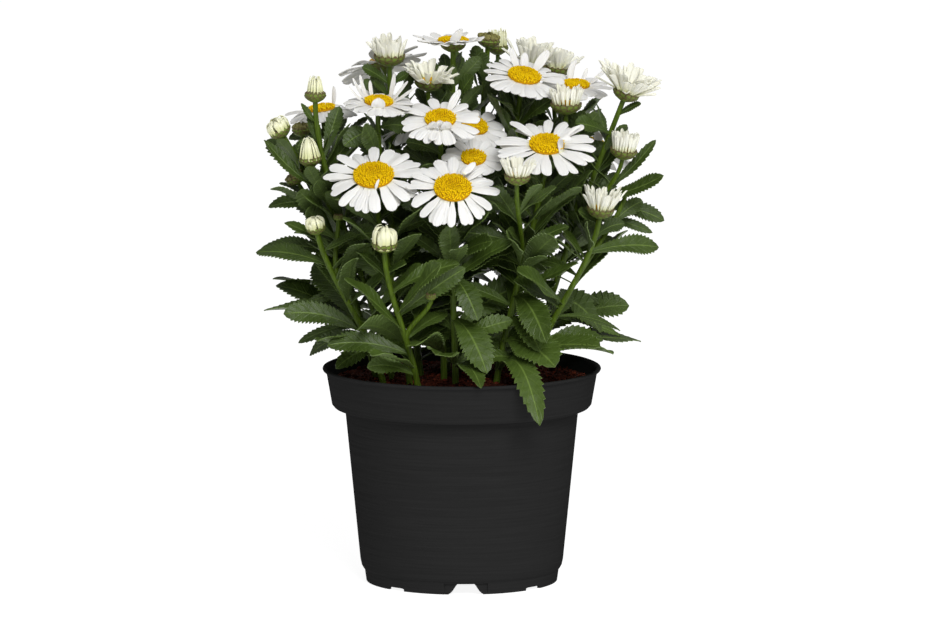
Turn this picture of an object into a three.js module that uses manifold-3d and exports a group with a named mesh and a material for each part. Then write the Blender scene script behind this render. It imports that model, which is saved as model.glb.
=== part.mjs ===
// Potted shasta daisy: a 19 cm nursery pot filled with peat, seventeen leafy stems that stand in
// it, sixteen open blooms, nine opening heads, and the closed buds on their stems.
// Millimetres, +Z up. The origin is on the surface under the middle of the pot, and -Y is the front.
import * as THREE from 'three';
import { mergeVertices } from 'three/addons/utils/BufferGeometryUtils.js';
import Module from 'manifold-3d';

const wasm = await Module();
wasm.setup();

// Pot
const RIM_RADIUS = 95;
const POT_HEIGHT = 147;
const WALL = 1.4;
const FOOT_RADIUS = 65.2;
const FOOT_TOP = 9;
const WALL_FOOT_RADIUS = 68.2;
const SHOULDER_HEIGHT = 119.7;
const SHOULDER_RADIUS = 79.7;
const COLLAR_RADIUS = 88.6;
const FLOOR_UNDERSIDE = 8;
const ROUND_STEPS = 28;
const NOTCH_TURN = 2.5;
const DRAIN_HOLES = 4;
const DRAIN_RADIUS = 4;
const DRAIN_RING = 42;

// Soil
const SOIL_GAP = 0.3;
const SOIL_EDGE = 137.5;
const SOIL_CROWN = 141;
const SOIL_BUMP = 1.3;
const SOIL_WAVES = [[0.31, 0.17], [-0.11, 0.29]];
const SOIL_STEPS = [66, 34];

// Stems and green cups
const STEM_RADIUS = 2.3;
const STALK_RADIUS = 1.9;
const STEM_SIDES = 6;
const STEM_STEPS = 4;
const STALK_STEPS = 3;
const STEM_DEPTH = 11;
const STEM_RISE = 95;
const STEM_LEAN = 0.3;
const STEM_ARMS = [0.36, 0.28];
const CUP_TOP = -0.25;
const CUP_OF_DISC = 0.4;
const CUP_DEPTH = 0.55;
const BUD_DEPTH = 0.62;
const STALK_END = 1.6;
const CUP_SWELL = [0.84, 0.4];
const BUD_SHOULDER = [0.72, 0.7];
const BRACT_RELIEF = 0.06;

// Rays and discs
const RAY_LEVEL = 0.65;
const RAY_ROOT_THICKNESS = 1.2;
const RAY_THICKNESS = 0.9;
const RAY_HALF_WIDTH = 5;
const RAY_BEND_AT = 0.6;
const RAY_CORNER_AT = 0.93;
const RAY_CORNER_SHARE = 0.7;
const RAY_WEDGE_SHARE = 0.88;
const CORE_OF_CUP = 0.85;
const CORE_RISE = 0.55;
const DISC_GAP = 0.5;
const DISC_FLOOR = 1.55;
const DISC_SIDES = 10;
const DISC_ROWS = [[1, 0], [0.98, 0.14], [0.6, 0.26]];
const DISC_DIMPLE = 0.22;
const FLORET_RELIEF = 0.08;

// How the rays of a head stand and how much they vary: rise and bend in degrees, twist in
// radians, turn as a share of the step between rays, and shortfall as a share of their length.
const RAY_HABITS = {
  open: { rise: 4, riseSpread: 11, layerRise: 3, bend: 11, bendSpread: 12, innerLength: 1 },
  opening: { rise: 0, riseSpread: 7, layerRise: 2.5, bend: -6, bendSpread: 12, innerLength: 0.88 },
};
const RAY_TURN = 0.12;
const RAY_SHORTFALL = 0.14;
const RAY_TWIST = 0.36;

// Leaves
const LEAF_THICKNESS = 1.2;
const LEAF_RIBS = [0.2, 0.45, 0.72];
const LEAF_RIBS_SHORT = [0.28, 0.64];
const LEAF_TOOTH_START = 0.3;
const LEAF_TOOTH_END = 0.95;
const LEAF_NOTCH = 0.86;
const LEAF_TOOTH = 1.1;
const LEAF_TOOTH_POINT = 0.72;
const LEAF_NECK = 0.17;
const LEAF_SHAPE = [1.3, 1.15];
const LEAF_FOLD = 0.22;
const LEAF_WAVE = 0.12;
const LEAF_WAVES = 9;
const LEAF_LEAN = 0.85;

// How far a ray or a leaf keeps from its neighbours, and the postures that it may take for that
const CLEARANCE = 0.4;
const RAY_LIFTS = [0, 7, -7, 14, -14, 22, -22, 32, -30, 44, 56];
const RAY_SCALES = [1, 0.8, 0.6, 0.4, 0.25];
const LEAF_TURNS = [0, 7, -7, 15, -15, 25, -25, 38, -38, 55, -55];
const LEAF_LIFTS = [0, 0.12, -0.12, 0.25, -0.25, 0.42];
const LEAF_SCALES = [1, 0.85, 0.7, 0.55];
const VIEW_DROP = 0.144;
const HEAD_SHAPE_IN_VIEW = { open: [0.46, 0.24], opening: [0.5, 0.55], bud: [0.5, 0.6] };
const TURN_COST = 0.055;
const LIFT_COST = 6.25;
const SCALE_COST = 7;

const UP = new THREE.Vector3(0, 0, 1);

// Heads: where the middle of each one is, which way it faces, and its width. An open bloom also
// has the width of its disc, an opening head the height of its upright rays and the radius of its
// cup, and a closed bud the height that shows above its cup. On some blooms all the rays rise more
// than on the others, by rise, or those at the front hang down, by droop, both in degrees.
const OPEN_BLOOMS = {
  F1: { at: [-59.5, -58, 284.7], face: [-0.05, -0.48, 0.87], width: 71, disc: 28, rays: 16, droop: 20 },
  F2: { at: [-6.2, -72, 278.1], face: [0.05, -0.58, 0.81], width: 66, disc: 26, rays: 16, droop: 36 },
  F3: { at: [57.5, -40, 303.4], face: [0.05, -0.42, 0.9], width: 75, disc: 24.5, rays: 16 },
  F5: { at: [42.4, 25, 342.1], face: [0.17, -0.33, 0.93], width: 62, disc: 23.4, rays: 14 },
  F4: { at: [-14.5, -28, 319.4], face: [0, -0.45, 0.89], width: 60, disc: 21.5, rays: 14 },
  F8: { at: [-56.4, -12, 329.1], face: [0.05, -0.2, 0.98], width: 52, disc: 20, rays: 12 },
  F11: { at: [77.8, 45, 333.5], face: [0.05, -0.15, 0.98], width: 56, disc: 19.6, rays: 12 },
  F9: { at: [-95.3, 26, 319.5], face: [-0.12, -0.07, 0.99], width: 54, disc: 19, rays: 12, rise: -9 },
  F7: { at: [8.5, 25, 308], face: [0.25, -0.45, 0.85], width: 50, disc: 19, rays: 12 },
  F6: { at: [8, -25, 292.7], face: [0, -0.5, 0.86], width: 46, disc: 17.5, rays: 12 },
  F10: { at: [-6, 50, 363], face: [0, 0, 1], width: 47, disc: 21, rays: 11, rise: 18 },
  F14: { at: [-33, 10, 311], face: [-0.3, 0.12, 0.92], width: 54, disc: 19, rays: 11, droop: 45 },
  F12: { at: [-55, 72, 344.8], face: [-0.25, 0.42, 0.87], width: 66, disc: 22, rays: 11 },
  F17: { at: [93, 68, 288], face: [0.4, 0.4, 0.8], width: 62, disc: 22, rays: 11 },
  F15: { at: [-62, 62, 268], face: [-0.35, 0.5, 0.8], width: 66, disc: 23, rays: 11 },
  F16: { at: [-18, 84, 306], face: [0.05, 0.55, 0.83], width: 64, disc: 22, rays: 11 },
};

const OPENING_HEADS = {
  H1: { at: [-49.3, 26, 357], face: [0, -0.05, 1], width: 28, height: 13, cup: 10.5, rays: 8 },
  H2: { at: [-22.5, 31, 339], face: [0.05, -0.15, 0.98], width: 38, height: 12, cup: 9.5, rays: 10 },
  H3: { at: [112, 4, 335], face: [0.35, -0.1, 0.93], width: 46, height: 16, cup: 9, rays: 10 },
  H4: { at: [47.8, 74, 345.5], face: [0.1, -0.1, 0.98], width: 30, height: 18, cup: 9.5, rays: 8 },
  H5: { at: [70.9, 2, 327], face: [0, -0.05, 1], width: 26, height: 12.5, cup: 10.4, rays: 8 },
  H6: { at: [37.5, -86, 289.5], face: [0.05, -0.12, 0.99], width: 27, height: 12, cup: 8.5, rays: 8 },
  H7: { at: [110, -10, 297], face: [0.15, -0.1, 0.98], width: 20, height: 14, cup: 9, rays: 8 },
  H8: { at: [94, -38, 260.5], face: [0.12, -0.1, 0.98], width: 27, height: 15, cup: 9, rays: 9 },
  H9: { at: [65, 86, 341.5], face: [0.15, 0, 0.98], width: 29, height: 14.5, cup: 9, rays: 8 },
};

const BUDS = {
  B1: { at: [-99.4, -14, 336.3], face: [0, 0, 1], width: 14.3, height: 10 },
  B2: { at: [-123.9, -8, 311], face: [-0.5, -0.1, 0.85], width: 15, height: 6 },
  B3: { at: [-108.9, 8, 310], face: [-0.1, -0.1, 0.98], width: 13, height: 4 },
  B4: { at: [-102.8, -25, 294], face: [-0.1, -0.1, 0.98], width: 15, height: 8 },
  B5: { at: [-113.8, -12, 279], face: [-0.5, -0.1, 0.85], width: 13, height: 3 },
  B6: { at: [-98.9, -45, 249.5], face: [-0.2, -0.2, 0.95], width: 12.6, height: 5 },
  B7: { at: [-52, -78, 243], face: [0, -0.2, 0.98], width: 17, height: 9 },
  B8: { at: [18.5, 70, 363.5], face: [0.1, -0.1, 0.99], width: 15, height: 4 },
  B9: { at: [-20.7, -70, 206.7], face: [0, -0.2, 0.98], width: 6.4, height: 2 },
  B10: { at: [-83.7, -30, 255.1], face: [0, 0, 1], width: 5.5, height: 2 },
  B11: { at: [112.6, -5, 269], face: [0.3, 0, 0.95], width: 6.5, height: 2 },
  B12: { at: [24.7, 90, 356], face: [0, 0, 1], width: 14, height: 12 },
};

const HEADS = {};
for (const [kind, heads] of Object.entries({ open: OPEN_BLOOMS, opening: OPENING_HEADS, bud: BUDS })) {
  for (const [name, head] of Object.entries(heads)) {
    HEADS[name] = { kind, ...head };
  }
}

// Main stems: where each comes out of the soil, and its heads. The first head ends the main stem,
// and each of the others has a stalk that leaves it at the height given.
const STEMS = [
  { foot: [-56, 0], top: 'B2', stalks: { B3: 262, B5: 228 } },
  { foot: [-45, -12], top: 'B1', stalks: { B4: 232 } },
  { foot: [-45, 22], top: 'F9', stalks: { F15: 205 } },
  { foot: [-51, -28], top: 'B6', stalks: { B10: 205 } },
  { foot: [-34, -40], top: 'F1', stalks: {} },
  { foot: [-27, 4], top: 'F8', stalks: {} },
  { foot: [-28, 34], top: 'H1', stalks: { F12: 238 } },
  { foot: [-28, -57], top: 'B7', stalks: { B9: 172 } },
  { foot: [-12, -16], top: 'F4', stalks: { F14: 240 } },
  { foot: [-4, -44], top: 'F2', stalks: { F6: 210 } },
  { foot: [-10, 20], top: 'F10', stalks: { H2: 268 } },
  { foot: [8, 48], top: 'B8', stalks: { F7: 232, F16: 218 } },
  { foot: [24, 22], top: 'F5', stalks: { H4: 250, B12: 262 } },
  { foot: [22, -34], top: 'F3', stalks: { H6: 205 } },
  { foot: [38, 42], top: 'F11', stalks: { H5: 225, H9: 250 } },
  { foot: [44, 4], top: 'H3', stalks: { H7: 225, F17: 200 } },
  { foot: [42, -28], top: 'H8', stalks: { B11: 205 } },
];

// Large leaves: the head whose stem or stalk each one grows from, the height of its root, its tip,
// its width, how far its middle arches up, and the number of teeth on a side.
const LARGE_LEAF_REACH = 1.15;
const LARGE_LEAF_BREADTH = 1.15;
const LARGE_LEAF_ROLL = 0.3;
const LARGE_LEAVES = [
  { on: 'B6', root: 176, tip: [-121, -34, 188], width: 14, arch: 10, teeth: 4 },
  { on: 'B7', root: 164, tip: [-91, -66, 171], width: 14, arch: 9, teeth: 4 },
  { on: 'B6', root: 222, tip: [-140, -12, 227], width: 12, arch: 7, teeth: 3 },
  { on: 'B2', root: 223, tip: [-137, 14, 226], width: 11, arch: 9, teeth: 3 },
  { on: 'B2', root: 258, tip: [-130, -14, 257], width: 9, arch: 6, teeth: 3 },
  { on: 'B4', root: 272, tip: [-134, -26, 306], width: 8, arch: -7, teeth: 3 },
  { on: 'B2', root: 168, tip: [-104, 22, 151], width: 11, arch: 12, teeth: 3 },
  { on: 'B1', root: 160, tip: [-82, -42, 151], width: 10, arch: 10, teeth: 3 },
  { on: 'B7', root: 150, tip: [-64, -72, 157], width: 10, arch: 7, teeth: 3 },
  { on: 'B1', root: 198, tip: [-105, -8, 192], width: 6, arch: 6, teeth: 2 },
  { on: 'F9', root: 172, tip: [-112, 34, 158], width: 7, arch: 10, teeth: 2 },
  { on: 'F2', root: 186, tip: [17, -88, 155], width: 17, arch: 16, teeth: 4 },
  { on: 'F2', root: 216, tip: [11, -74, 189], width: 13, arch: 10, teeth: 3 },
  { on: 'F3', root: 232, tip: [23, -72, 221], width: 14, arch: 11, teeth: 4 },
  { on: 'F3', root: 200, tip: [57, -80, 175], width: 17, arch: 15, teeth: 4 },
  { on: 'F3', root: 184, tip: [53, -67, 167], width: 12, arch: 13, teeth: 3 },
  { on: 'F3', root: 148, tip: [44, -107, 122], width: 15, arch: 46, teeth: 4 },
  { on: 'F3', root: 170, tip: [63, -77, 158], width: 23, arch: 11, teeth: 4 },
  { on: 'F2', root: 152, tip: [13, -100, 140], width: 11, arch: 18, teeth: 3 },
  { on: 'H8', root: 166, tip: [96, -24, 168], width: 14, arch: 9, teeth: 3 },
  { on: 'H3', root: 190, tip: [95, 12, 168], width: 20, arch: 20, teeth: 4 },
  { on: 'H8', root: 186, tip: [108, -4, 172], width: 6, arch: 8, teeth: 2 },
  { on: 'H3', root: 180, tip: [112, 12, 164], width: 6, arch: 8, teeth: 2 },
  { on: 'H8', root: 230, tip: [134, -8, 230], width: 12, arch: 6, teeth: 4 },
  { on: 'H7', root: 250, tip: [130, 6, 238], width: 6, arch: 5, teeth: 2 },
  { on: 'H7', root: 257, tip: [138, 8, 246], width: 10, arch: 8, teeth: 3 },
  { on: 'H7', root: 264, tip: [142, -16, 282], width: 10, arch: -5, teeth: 4 },
  { on: 'H7', root: 271, tip: [132, -2, 303], width: 7, arch: -5, teeth: 2 },
  { on: 'H3', root: 306, tip: [77, -8, 315], width: 11, arch: 3, teeth: 3 },
  { on: 'F5', root: 316, tip: [25, 22, 338], width: 12, arch: -3, teeth: 2 },
  { on: 'H3', root: 272, tip: [38, -30, 252], width: 15, arch: 13, teeth: 4 },
  { on: 'B1', root: 206, tip: [-100, -34, 224], width: 10, arch: 8, teeth: 4 },
];

// Smaller leaves all the way round each main stem, longest and most level at its foot
const LEAVES_ON_A_STEM = 4;
const LEAVES_FROM = 154;
const BARE_NECK = 42;
const GOLDEN_TURN = 137.5;
const LEAF_TURN_SPREAD = 50;
const LEAF_LENGTHS = [74, 48];
const LEAF_LENGTH_SPREAD = 12;
const LEAF_SLOPES = [4, 38];
const LEAF_SLOPE_SPREAD = 16;
const LEAF_BREADTH = 0.27;
const LEAF_BREADTH_SPREAD = 0.05;
const LEAF_ARCH = 8;
const LEAF_ROLL = 0.5;
const TEETH_CHANGE_AT = 0.2;

// The plan of the whole plant is an oval of this half width and half depth.
const SPREAD_WIDTH = 138;
const SPREAD_DEPTH = 103;
const FRONT = new THREE.Vector3(0, -1, 0);

const LEAF_GREEN = new THREE.MeshStandardMaterial({ color: 0x4d6b2b, roughness: 0.62, metalness: 0 });
const RAY_WHITE = new THREE.MeshStandardMaterial({ color: 0xf4f3ec, roughness: 0.6, metalness: 0 });
const RAY_CREAM = new THREE.MeshStandardMaterial({ color: 0xefeccb, roughness: 0.6, metalness: 0 });
const DISC_YELLOW = new THREE.MeshStandardMaterial({ color: 0xf0b80c, roughness: 0.75, metalness: 0 });
const POT_BLACK = new THREE.MeshStandardMaterial({ color: 0x1c1c1d, roughness: 0.5, metalness: 0 });
const PEAT = new THREE.MeshStandardMaterial({ color: 0x33211a, roughness: 0.95, metalness: 0 });

// Solids

// A closed mesh as a solid: shared vertices merged, triangles that have shrunk to a line left out.
function solidOf(geometry) {
  const bare = geometry.clone();
  bare.deleteAttribute('normal');
  bare.deleteAttribute('uv');
  const merged = mergeVertices(bare, 1e-4);
  const index = merged.getIndex().array;
  const triangles = [];
  for (let i = 0; i < index.length; i += 3) {
    const [a, b, c] = [index[i], index[i + 1], index[i + 2]];
    if (a !== b && b !== c && c !== a) {
      triangles.push(a, b, c);
    }
  }
  return new wasm.Manifold(new wasm.Mesh({
    numProp: 3,
    vertProperties: new Float32Array(merged.getAttribute('position').array),
    triVerts: new Uint32Array(triangles),
  }));
}

function geometryOf(solid) {
  const { vertProperties, triVerts } = solid.getMesh();
  const geometry = new THREE.BufferGeometry();
  geometry.setAttribute('position', new THREE.BufferAttribute(new Float32Array(vertProperties), 3));
  geometry.setIndex(new THREE.BufferAttribute(new Uint32Array(triVerts), 1));
  geometry.computeVertexNormals();
  return geometry;
}

function fuse(solids) {
  return solids.reduce((whole, solid) => whole.add(solid));
}

// A body of revolution about Z from a profile of [radius, height] pairs that starts and ends on Z.
function turned(profile, sides) {
  const points = profile.map(([radius, height]) => new THREE.Vector2(radius, height));
  return new THREE.LatheGeometry(points, sides).rotateX(Math.PI / 2);
}

// Which of a turned body's sides a vertex is on.
function sideOf(places, i, sides) {
  const angle = Math.atan2(places.getY(i), places.getX(i)) - Math.PI / 2;
  return Math.round((angle * sides) / (2 * Math.PI));
}

// The same draws for a name every time.
function drawsFor(seed) {
  let state = (seed * 2654435761) >>> 0;
  return () => {
    state = (Math.imul(state, 1664525) + 1013904223) >>> 0;
    return state / 4294967296;
  };
}

// Triangles between two chains of vertices that run side by side; places gives how far along each is.
function zip(first, firstPlaces, second, secondPlaces) {
  const triangles = [];
  let i = 0;
  let j = 0;
  while (i < first.length - 1 || j < second.length - 1) {
    const stepFirst = j === second.length - 1
      || (i < first.length - 1 && firstPlaces[i + 1] <= secondPlaces[j + 1]);
    const next = stepFirst ? first[i + 1] : second[j + 1];
    if (next !== first[i] && next !== second[j]) {
      triangles.push([first[i], next, second[j]]);
    }
    if (stepFirst) {
      i += 1;
    } else {
      j += 1;
    }
  }
  return triangles;
}

// A mesh that collects points and triangles.
class Sheet {
  constructor() {
    this.points = [];
    this.triangles = [];
  }

  point(place) {
    this.points.push(place);
    return this.points.length - 1;
  }

  add(triangles, flipped = false) {
    triangles.forEach(([a, b, c]) => this.triangles.push(...(flipped ? [a, c, b] : [a, b, c])));
  }

  geometry() {
    return new THREE.BufferGeometry().setFromPoints(this.points).setIndex(this.triangles);
  }
}

// A blade with a ridge above and below along its rib and a sharp outline: both faces are split
// into triangles alike. Chains run from the root, and every chain ends in the tip.
function addBlade(sheet, above, below, ribPlaces, left, right, sidePlaces) {
  sheet.add(zip(above, ribPlaces, left, sidePlaces));
  sheet.add(zip(above, ribPlaces, right, sidePlaces), true);
  sheet.add(zip(below, ribPlaces, left, sidePlaces), true);
  sheet.add(zip(below, ribPlaces, right, sidePlaces));
}

// Pot and soil

function potProfile() {
  return [
    [0, FLOOR_UNDERSIDE],
    [FOOT_RADIUS - WALL - 0.4, FLOOR_UNDERSIDE],
    [FOOT_RADIUS - WALL - 1, 0],
    [FOOT_RADIUS, 0],
    [FOOT_RADIUS + 1.2, FOOT_TOP],
    [WALL_FOOT_RADIUS, FOOT_TOP + 2.5],
    [SHOULDER_RADIUS, SHOULDER_HEIGHT],
    [COLLAR_RADIUS, SHOULDER_HEIGHT],
    [RIM_RADIUS - 2.6, POT_HEIGHT - 2.8],
    [RIM_RADIUS, POT_HEIGHT - 2.4],
    [RIM_RADIUS - 0.5, POT_HEIGHT],
    [RIM_RADIUS - 3.8, POT_HEIGHT],
    [COLLAR_RADIUS - WALL / 2, SHOULDER_HEIGHT + WALL],
    [SHOULDER_RADIUS - WALL, SHOULDER_HEIGHT + WALL],
    [WALL_FOOT_RADIUS - WALL - 0.4, FLOOR_UNDERSIDE + WALL],
    [0, FLOOR_UNDERSIDE + WALL],
  ];
}

// A prism that points outwards from the axis at an angle, to cut a gap in the foot ring.
function footCut(outline, degrees) {
  const angle = THREE.MathUtils.degToRad(degrees);
  const along = new THREE.Vector3(-Math.sin(angle), Math.cos(angle), 0);
  const outwards = new THREE.Vector3(Math.cos(angle), Math.sin(angle), 0);
  const shape = new THREE.Shape(outline.map(([x, y]) => new THREE.Vector2(x, y)));
  const prism = new THREE.ExtrudeGeometry(shape, { depth: 12, bevelEnabled: false });
  prism.translate(0, 0, FOOT_RADIUS - 8);
  prism.applyMatrix4(new THREE.Matrix4().makeBasis(along, UP, outwards));
  return solidOf(prism);
}

function potSolid() {
  let pot = solidOf(turned(potProfile(), ROUND_STEPS));
  const notch = [[-11, -1], [11, -1], [8.4, 4], [5.6, 7.3], [-5.6, 7.3], [-8.4, 4]];
  const slot = [[-7, -1], [7, -1], [7, 2], [-7, 2]];
  for (const front of [-90 + NOTCH_TURN, 90 + NOTCH_TURN]) {
    pot = pot.subtract(footCut(notch, front));
    for (const beside of [-45.75, 45.75]) {
      pot = pot.subtract(footCut(slot, front + beside));
    }
  }
  for (let hole = 0; hole < DRAIN_HOLES; hole += 1) {
    const angle = (hole * 2 * Math.PI) / DRAIN_HOLES;
    const drill = new THREE.CylinderGeometry(DRAIN_RADIUS, DRAIN_RADIUS, WALL * 3, 6);
    drill.rotateX(Math.PI / 2);
    drill.translate(DRAIN_RING * Math.cos(angle), DRAIN_RING * Math.sin(angle), FLOOR_UNDERSIDE + WALL / 2);
    pot = pot.subtract(solidOf(drill));
  }
  return pot;
}

function soilGeometry() {
  const inside = COLLAR_RADIUS - WALL / 2 - SOIL_GAP;
  const profile = [
    [0, FLOOR_UNDERSIDE + WALL + SOIL_GAP],
    [WALL_FOOT_RADIUS - WALL - 0.9, FLOOR_UNDERSIDE + WALL + SOIL_GAP],
    [SHOULDER_RADIUS - WALL - 0.4, SHOULDER_HEIGHT + WALL + SOIL_GAP],
    [inside, SHOULDER_HEIGHT + WALL + SOIL_GAP],
    [inside + 2, SOIL_EDGE],
    ...SOIL_STEPS.map((radius) => [radius, soilLevel(radius)]),
    [0, SOIL_CROWN],
  ];
  const soil = turned(profile, ROUND_STEPS);
  const places = soil.getAttribute('position');
  for (let i = 0; i < places.count; i += 1) {
    const radius = Math.hypot(places.getX(i), places.getY(i));
    if (places.getZ(i) > SOIL_EDGE + 0.1 && radius > 1) {
      places.setZ(i, places.getZ(i) + crumb(places.getX(i), places.getY(i)));
    }
  }
  return soil;
}

function soilLevel(radius) {
  return SOIL_CROWN - (SOIL_CROWN - SOIL_EDGE) * (radius / (COLLAR_RADIUS + 2)) ** 2;
}

function crumb(x, y) {
  const [first, second] = SOIL_WAVES.map(([alongX, alongY]) => x * alongX + y * alongY);
  return SOIL_BUMP * Math.sin(first) * Math.cos(second);
}

// Stems

function point3(list) {
  return new THREE.Vector3(...list);
}

function faceOf(head) {
  return point3(head.face).normalize();
}

function turnOf(head) {
  return new THREE.Quaternion().setFromUnitVectors(UP, faceOf(head));
}

function cupRadius(head) {
  return { open: head.disc * CUP_OF_DISC, opening: head.cup, bud: head.width / 2 }[head.kind];
}

function cupDepth(head) {
  return cupRadius(head) * (head.kind === 'bud' ? BUD_DEPTH : CUP_DEPTH) + STALK_END;
}

// The middle line of a stem or stalk, up to the bottom of its cup.
class Stalk extends THREE.CubicBezierCurve3 {
  constructor(start, heading, head, steps) {
    const end = point3(head.at).addScaledVector(faceOf(head), -cupDepth(head));
    const reach = start.distanceTo(end);
    super(
      start,
      start.clone().addScaledVector(heading, reach * STEM_ARMS[0]),
      end.clone().addScaledVector(faceOf(head), -reach * STEM_ARMS[1]),
      end,
    );
    this.steps = steps;
    this.head = head;
  }

  // Where its faceted middle line reaches a height, and which way it runs there.
  atHeight(height) {
    const points = this.getPoints(this.steps);
    const above = Math.max(1, Math.min(this.steps, points.findIndex(({ z }) => z >= height)));
    const [low, high] = [points[above - 1], points[above]];
    const share = (height - low.z) / (high.z - low.z);
    return { at: low.clone().lerp(high, share), heading: high.clone().sub(low).normalize() };
  }

  // Bends a body turned about Z along the line. Heights from 0 to 1 are shares of the line, and
  // what lies below 0 or above 1 is in millimetres past its ends, straight on.
  bend(geometry) {
    const places = geometry.getAttribute('position');
    for (let i = 0; i < places.count; i += 1) {
      const height = places.getZ(i);
      const share = THREE.MathUtils.clamp(height, 0, 1);
      const tangent = this.getTangent(share);
      const across = new THREE.Vector3(places.getX(i), places.getY(i), 0);
      across.applyQuaternion(new THREE.Quaternion().setFromUnitVectors(UP, tangent));
      const point = this.getPoint(share).add(across).addScaledVector(tangent, height - share);
      places.setXYZ(i, point.x, point.y, point.z);
    }
    return geometry;
  }
}

function stemHeading(foot, head) {
  const [x, y] = [head.at[0] - foot[0], head.at[1] - foot[1]];
  return new THREE.Vector3(x * STEM_LEAN, y * STEM_LEAN, STEM_RISE).normalize();
}

// A stem or stalk with the green cup that it ends in, or with its closed bud. The bracts that
// overlap on the cup are a low relief.
function stalkGeometry(curve, radius) {
  const { head, steps } = curve;
  const cup = cupRadius(head);
  const depth = cupDepth(head);
  const rim = head.kind === 'bud' ? 1 + depth : 1 + depth + CUP_TOP;
  const profile = [[0, 0]];
  for (let step = 0; step <= steps; step += 1) {
    profile.push([radius, step / steps]);
  }
  profile.push([cup * CUP_SWELL[0], 1 + depth * CUP_SWELL[1]], [cup, rim]);
  if (head.kind === 'bud') {
    profile.push([cup * BUD_SHOULDER[0], rim + head.height * BUD_SHOULDER[1]]);
  }
  profile.push([0, head.kind === 'bud' ? rim + head.height : rim]);
  const stalk = turned(profile, STEM_SIDES);
  const places = stalk.getAttribute('position');
  for (let i = 0; i < places.count; i += 1) {
    if (places.getZ(i) > 1.01) {
      const row = Math.round((places.getZ(i) - 1) / (depth * 0.5));
      const bract = 1 + BRACT_RELIEF * (Math.abs(sideOf(places, i, STEM_SIDES) + row) % 2);
      places.setXY(i, places.getX(i) * bract, places.getY(i) * bract);
    }
  }
  return curve.bend(stalk);
}

// The hole that a stem leaves in the soil.
function holeGeometry(curve) {
  const radius = STEM_RADIUS + SOIL_GAP;
  const top = 1 / curve.steps;
  const profile = [[0, -SOIL_GAP], [radius, -SOIL_GAP], [radius, top], [0, top]];
  return curve.bend(turned(profile, STEM_SIDES));
}

// Rays and discs

// The size and the posture of a head's rays before any is bent clear of its neighbours.
function rayPlan(head, seed) {
  const open = head.kind === 'open';
  const habit = RAY_HABITS[head.kind];
  const ring = open ? head.disc / 2 + DISC_GAP : head.cup * CORE_OF_CUP;
  const reach = head.width / 2 - ring;
  const length = open ? reach : Math.hypot(reach, head.height);
  const upright = open ? 0 : THREE.MathUtils.radToDeg(Math.atan2(head.height, reach));
  const draw = drawsFor(seed);
  const rays = [];
  for (let i = 0; i < head.rays; i += 1) {
    const outer = i % 2 === 0;
    const angle = ((i + (draw() - 0.5) * RAY_TURN) * 2 * Math.PI) / head.rays;
    const posture = habit.rise + (head.rise ?? 0) - (head.droop ?? 0) * Math.max(0, -Math.sin(angle));
    rays.push({
      angle,
      length: length * (1 - RAY_SHORTFALL * draw()) * (outer ? 1 : habit.innerLength),
      rise: posture + upright + (draw() - 0.5) * habit.riseSpread + (outer ? 1 : -1) * habit.layerRise,
      bend: habit.bend + draw() * habit.bendSpread,
      twist: (draw() - 0.5) * RAY_TWIST,
    });
  }
  return { ring, rays };
}

// A ray's points in its head's own frame, where the head faces +Z.
function rayPoints(head, ring, ray, lift, scale, grow = 0) {
  const spin = new THREE.Quaternion().setFromAxisAngle(UP, ray.angle);
  const rise = THREE.MathUtils.degToRad(ray.rise + lift);
  const fall = THREE.MathUtils.degToRad(ray.rise + lift - ray.bend);
  const length = ray.length * scale + grow;
  const out = ring + length * RAY_BEND_AT * Math.max(Math.cos(rise), 0);
  const half = Math.min(out * Math.tan(Math.PI / head.rays) * RAY_WEDGE_SHARE, RAY_HALF_WIDTH) + grow;
  const first = new THREE.Vector3(Math.cos(rise), 0, Math.sin(rise));
  const second = new THREE.Vector3(Math.cos(fall), 0, Math.sin(fall));
  const across = new THREE.Vector3(0, Math.cos(ray.twist), Math.sin(ray.twist));
  const root = new THREE.Vector3(ring, 0, RAY_LEVEL);
  const bend = root.clone().addScaledVector(first, length * RAY_BEND_AT);
  const tip = bend.clone().addScaledVector(second, length * (1 - RAY_BEND_AT));
  const corner = bend.clone().addScaledVector(second, length * (RAY_CORNER_AT - RAY_BEND_AT));
  const thick = new THREE.Vector3(-first.z, 0, first.x).multiplyScalar(RAY_THICKNESS / 2 + grow);
  const rootThick = UP.clone().multiplyScalar(RAY_ROOT_THICKNESS / 2);
  const points = {
    rootAbove: root.clone().add(rootThick),
    rootBelow: root.clone().sub(rootThick),
    bendAbove: bend.clone().add(thick),
    bendBelow: bend.clone().sub(thick),
    bendLeft: bend.clone().addScaledVector(across, half),
    bendRight: bend.clone().addScaledVector(across, -half),
    cornerLeft: corner.clone().addScaledVector(across, half * RAY_CORNER_SHARE),
    cornerRight: corner.clone().addScaledVector(across, -half * RAY_CORNER_SHARE),
    tip,
  };
  Object.values(points).forEach((point) => point.applyQuaternion(spin));
  return points;
}

function gapPoint(head, ring, place) {
  const angle = (place * 2 * Math.PI) / head.rays;
  return new THREE.Vector3(ring * Math.cos(angle), ring * Math.sin(angle), RAY_LEVEL);
}

const RAY_RIB_PLACES = [0, RAY_BEND_AT, 1];
const RAY_SIDE_PLACES = [0, RAY_BEND_AT, RAY_CORNER_AT, 1];

function addRay(sheet, points, leftRoot, rightRoot) {
  const tip = sheet.point(points.tip);
  const above = [sheet.point(points.rootAbove), sheet.point(points.bendAbove), tip];
  const below = [sheet.point(points.rootBelow), sheet.point(points.bendBelow), tip];
  const left = [leftRoot, sheet.point(points.bendLeft), sheet.point(points.cornerLeft), tip];
  const right = [rightRoot, sheet.point(points.bendRight), sheet.point(points.cornerRight), tip];
  addBlade(sheet, above, below, RAY_RIB_PLACES, left, right, RAY_SIDE_PLACES);
  return { above: above[0], below: below[0] };
}

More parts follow.
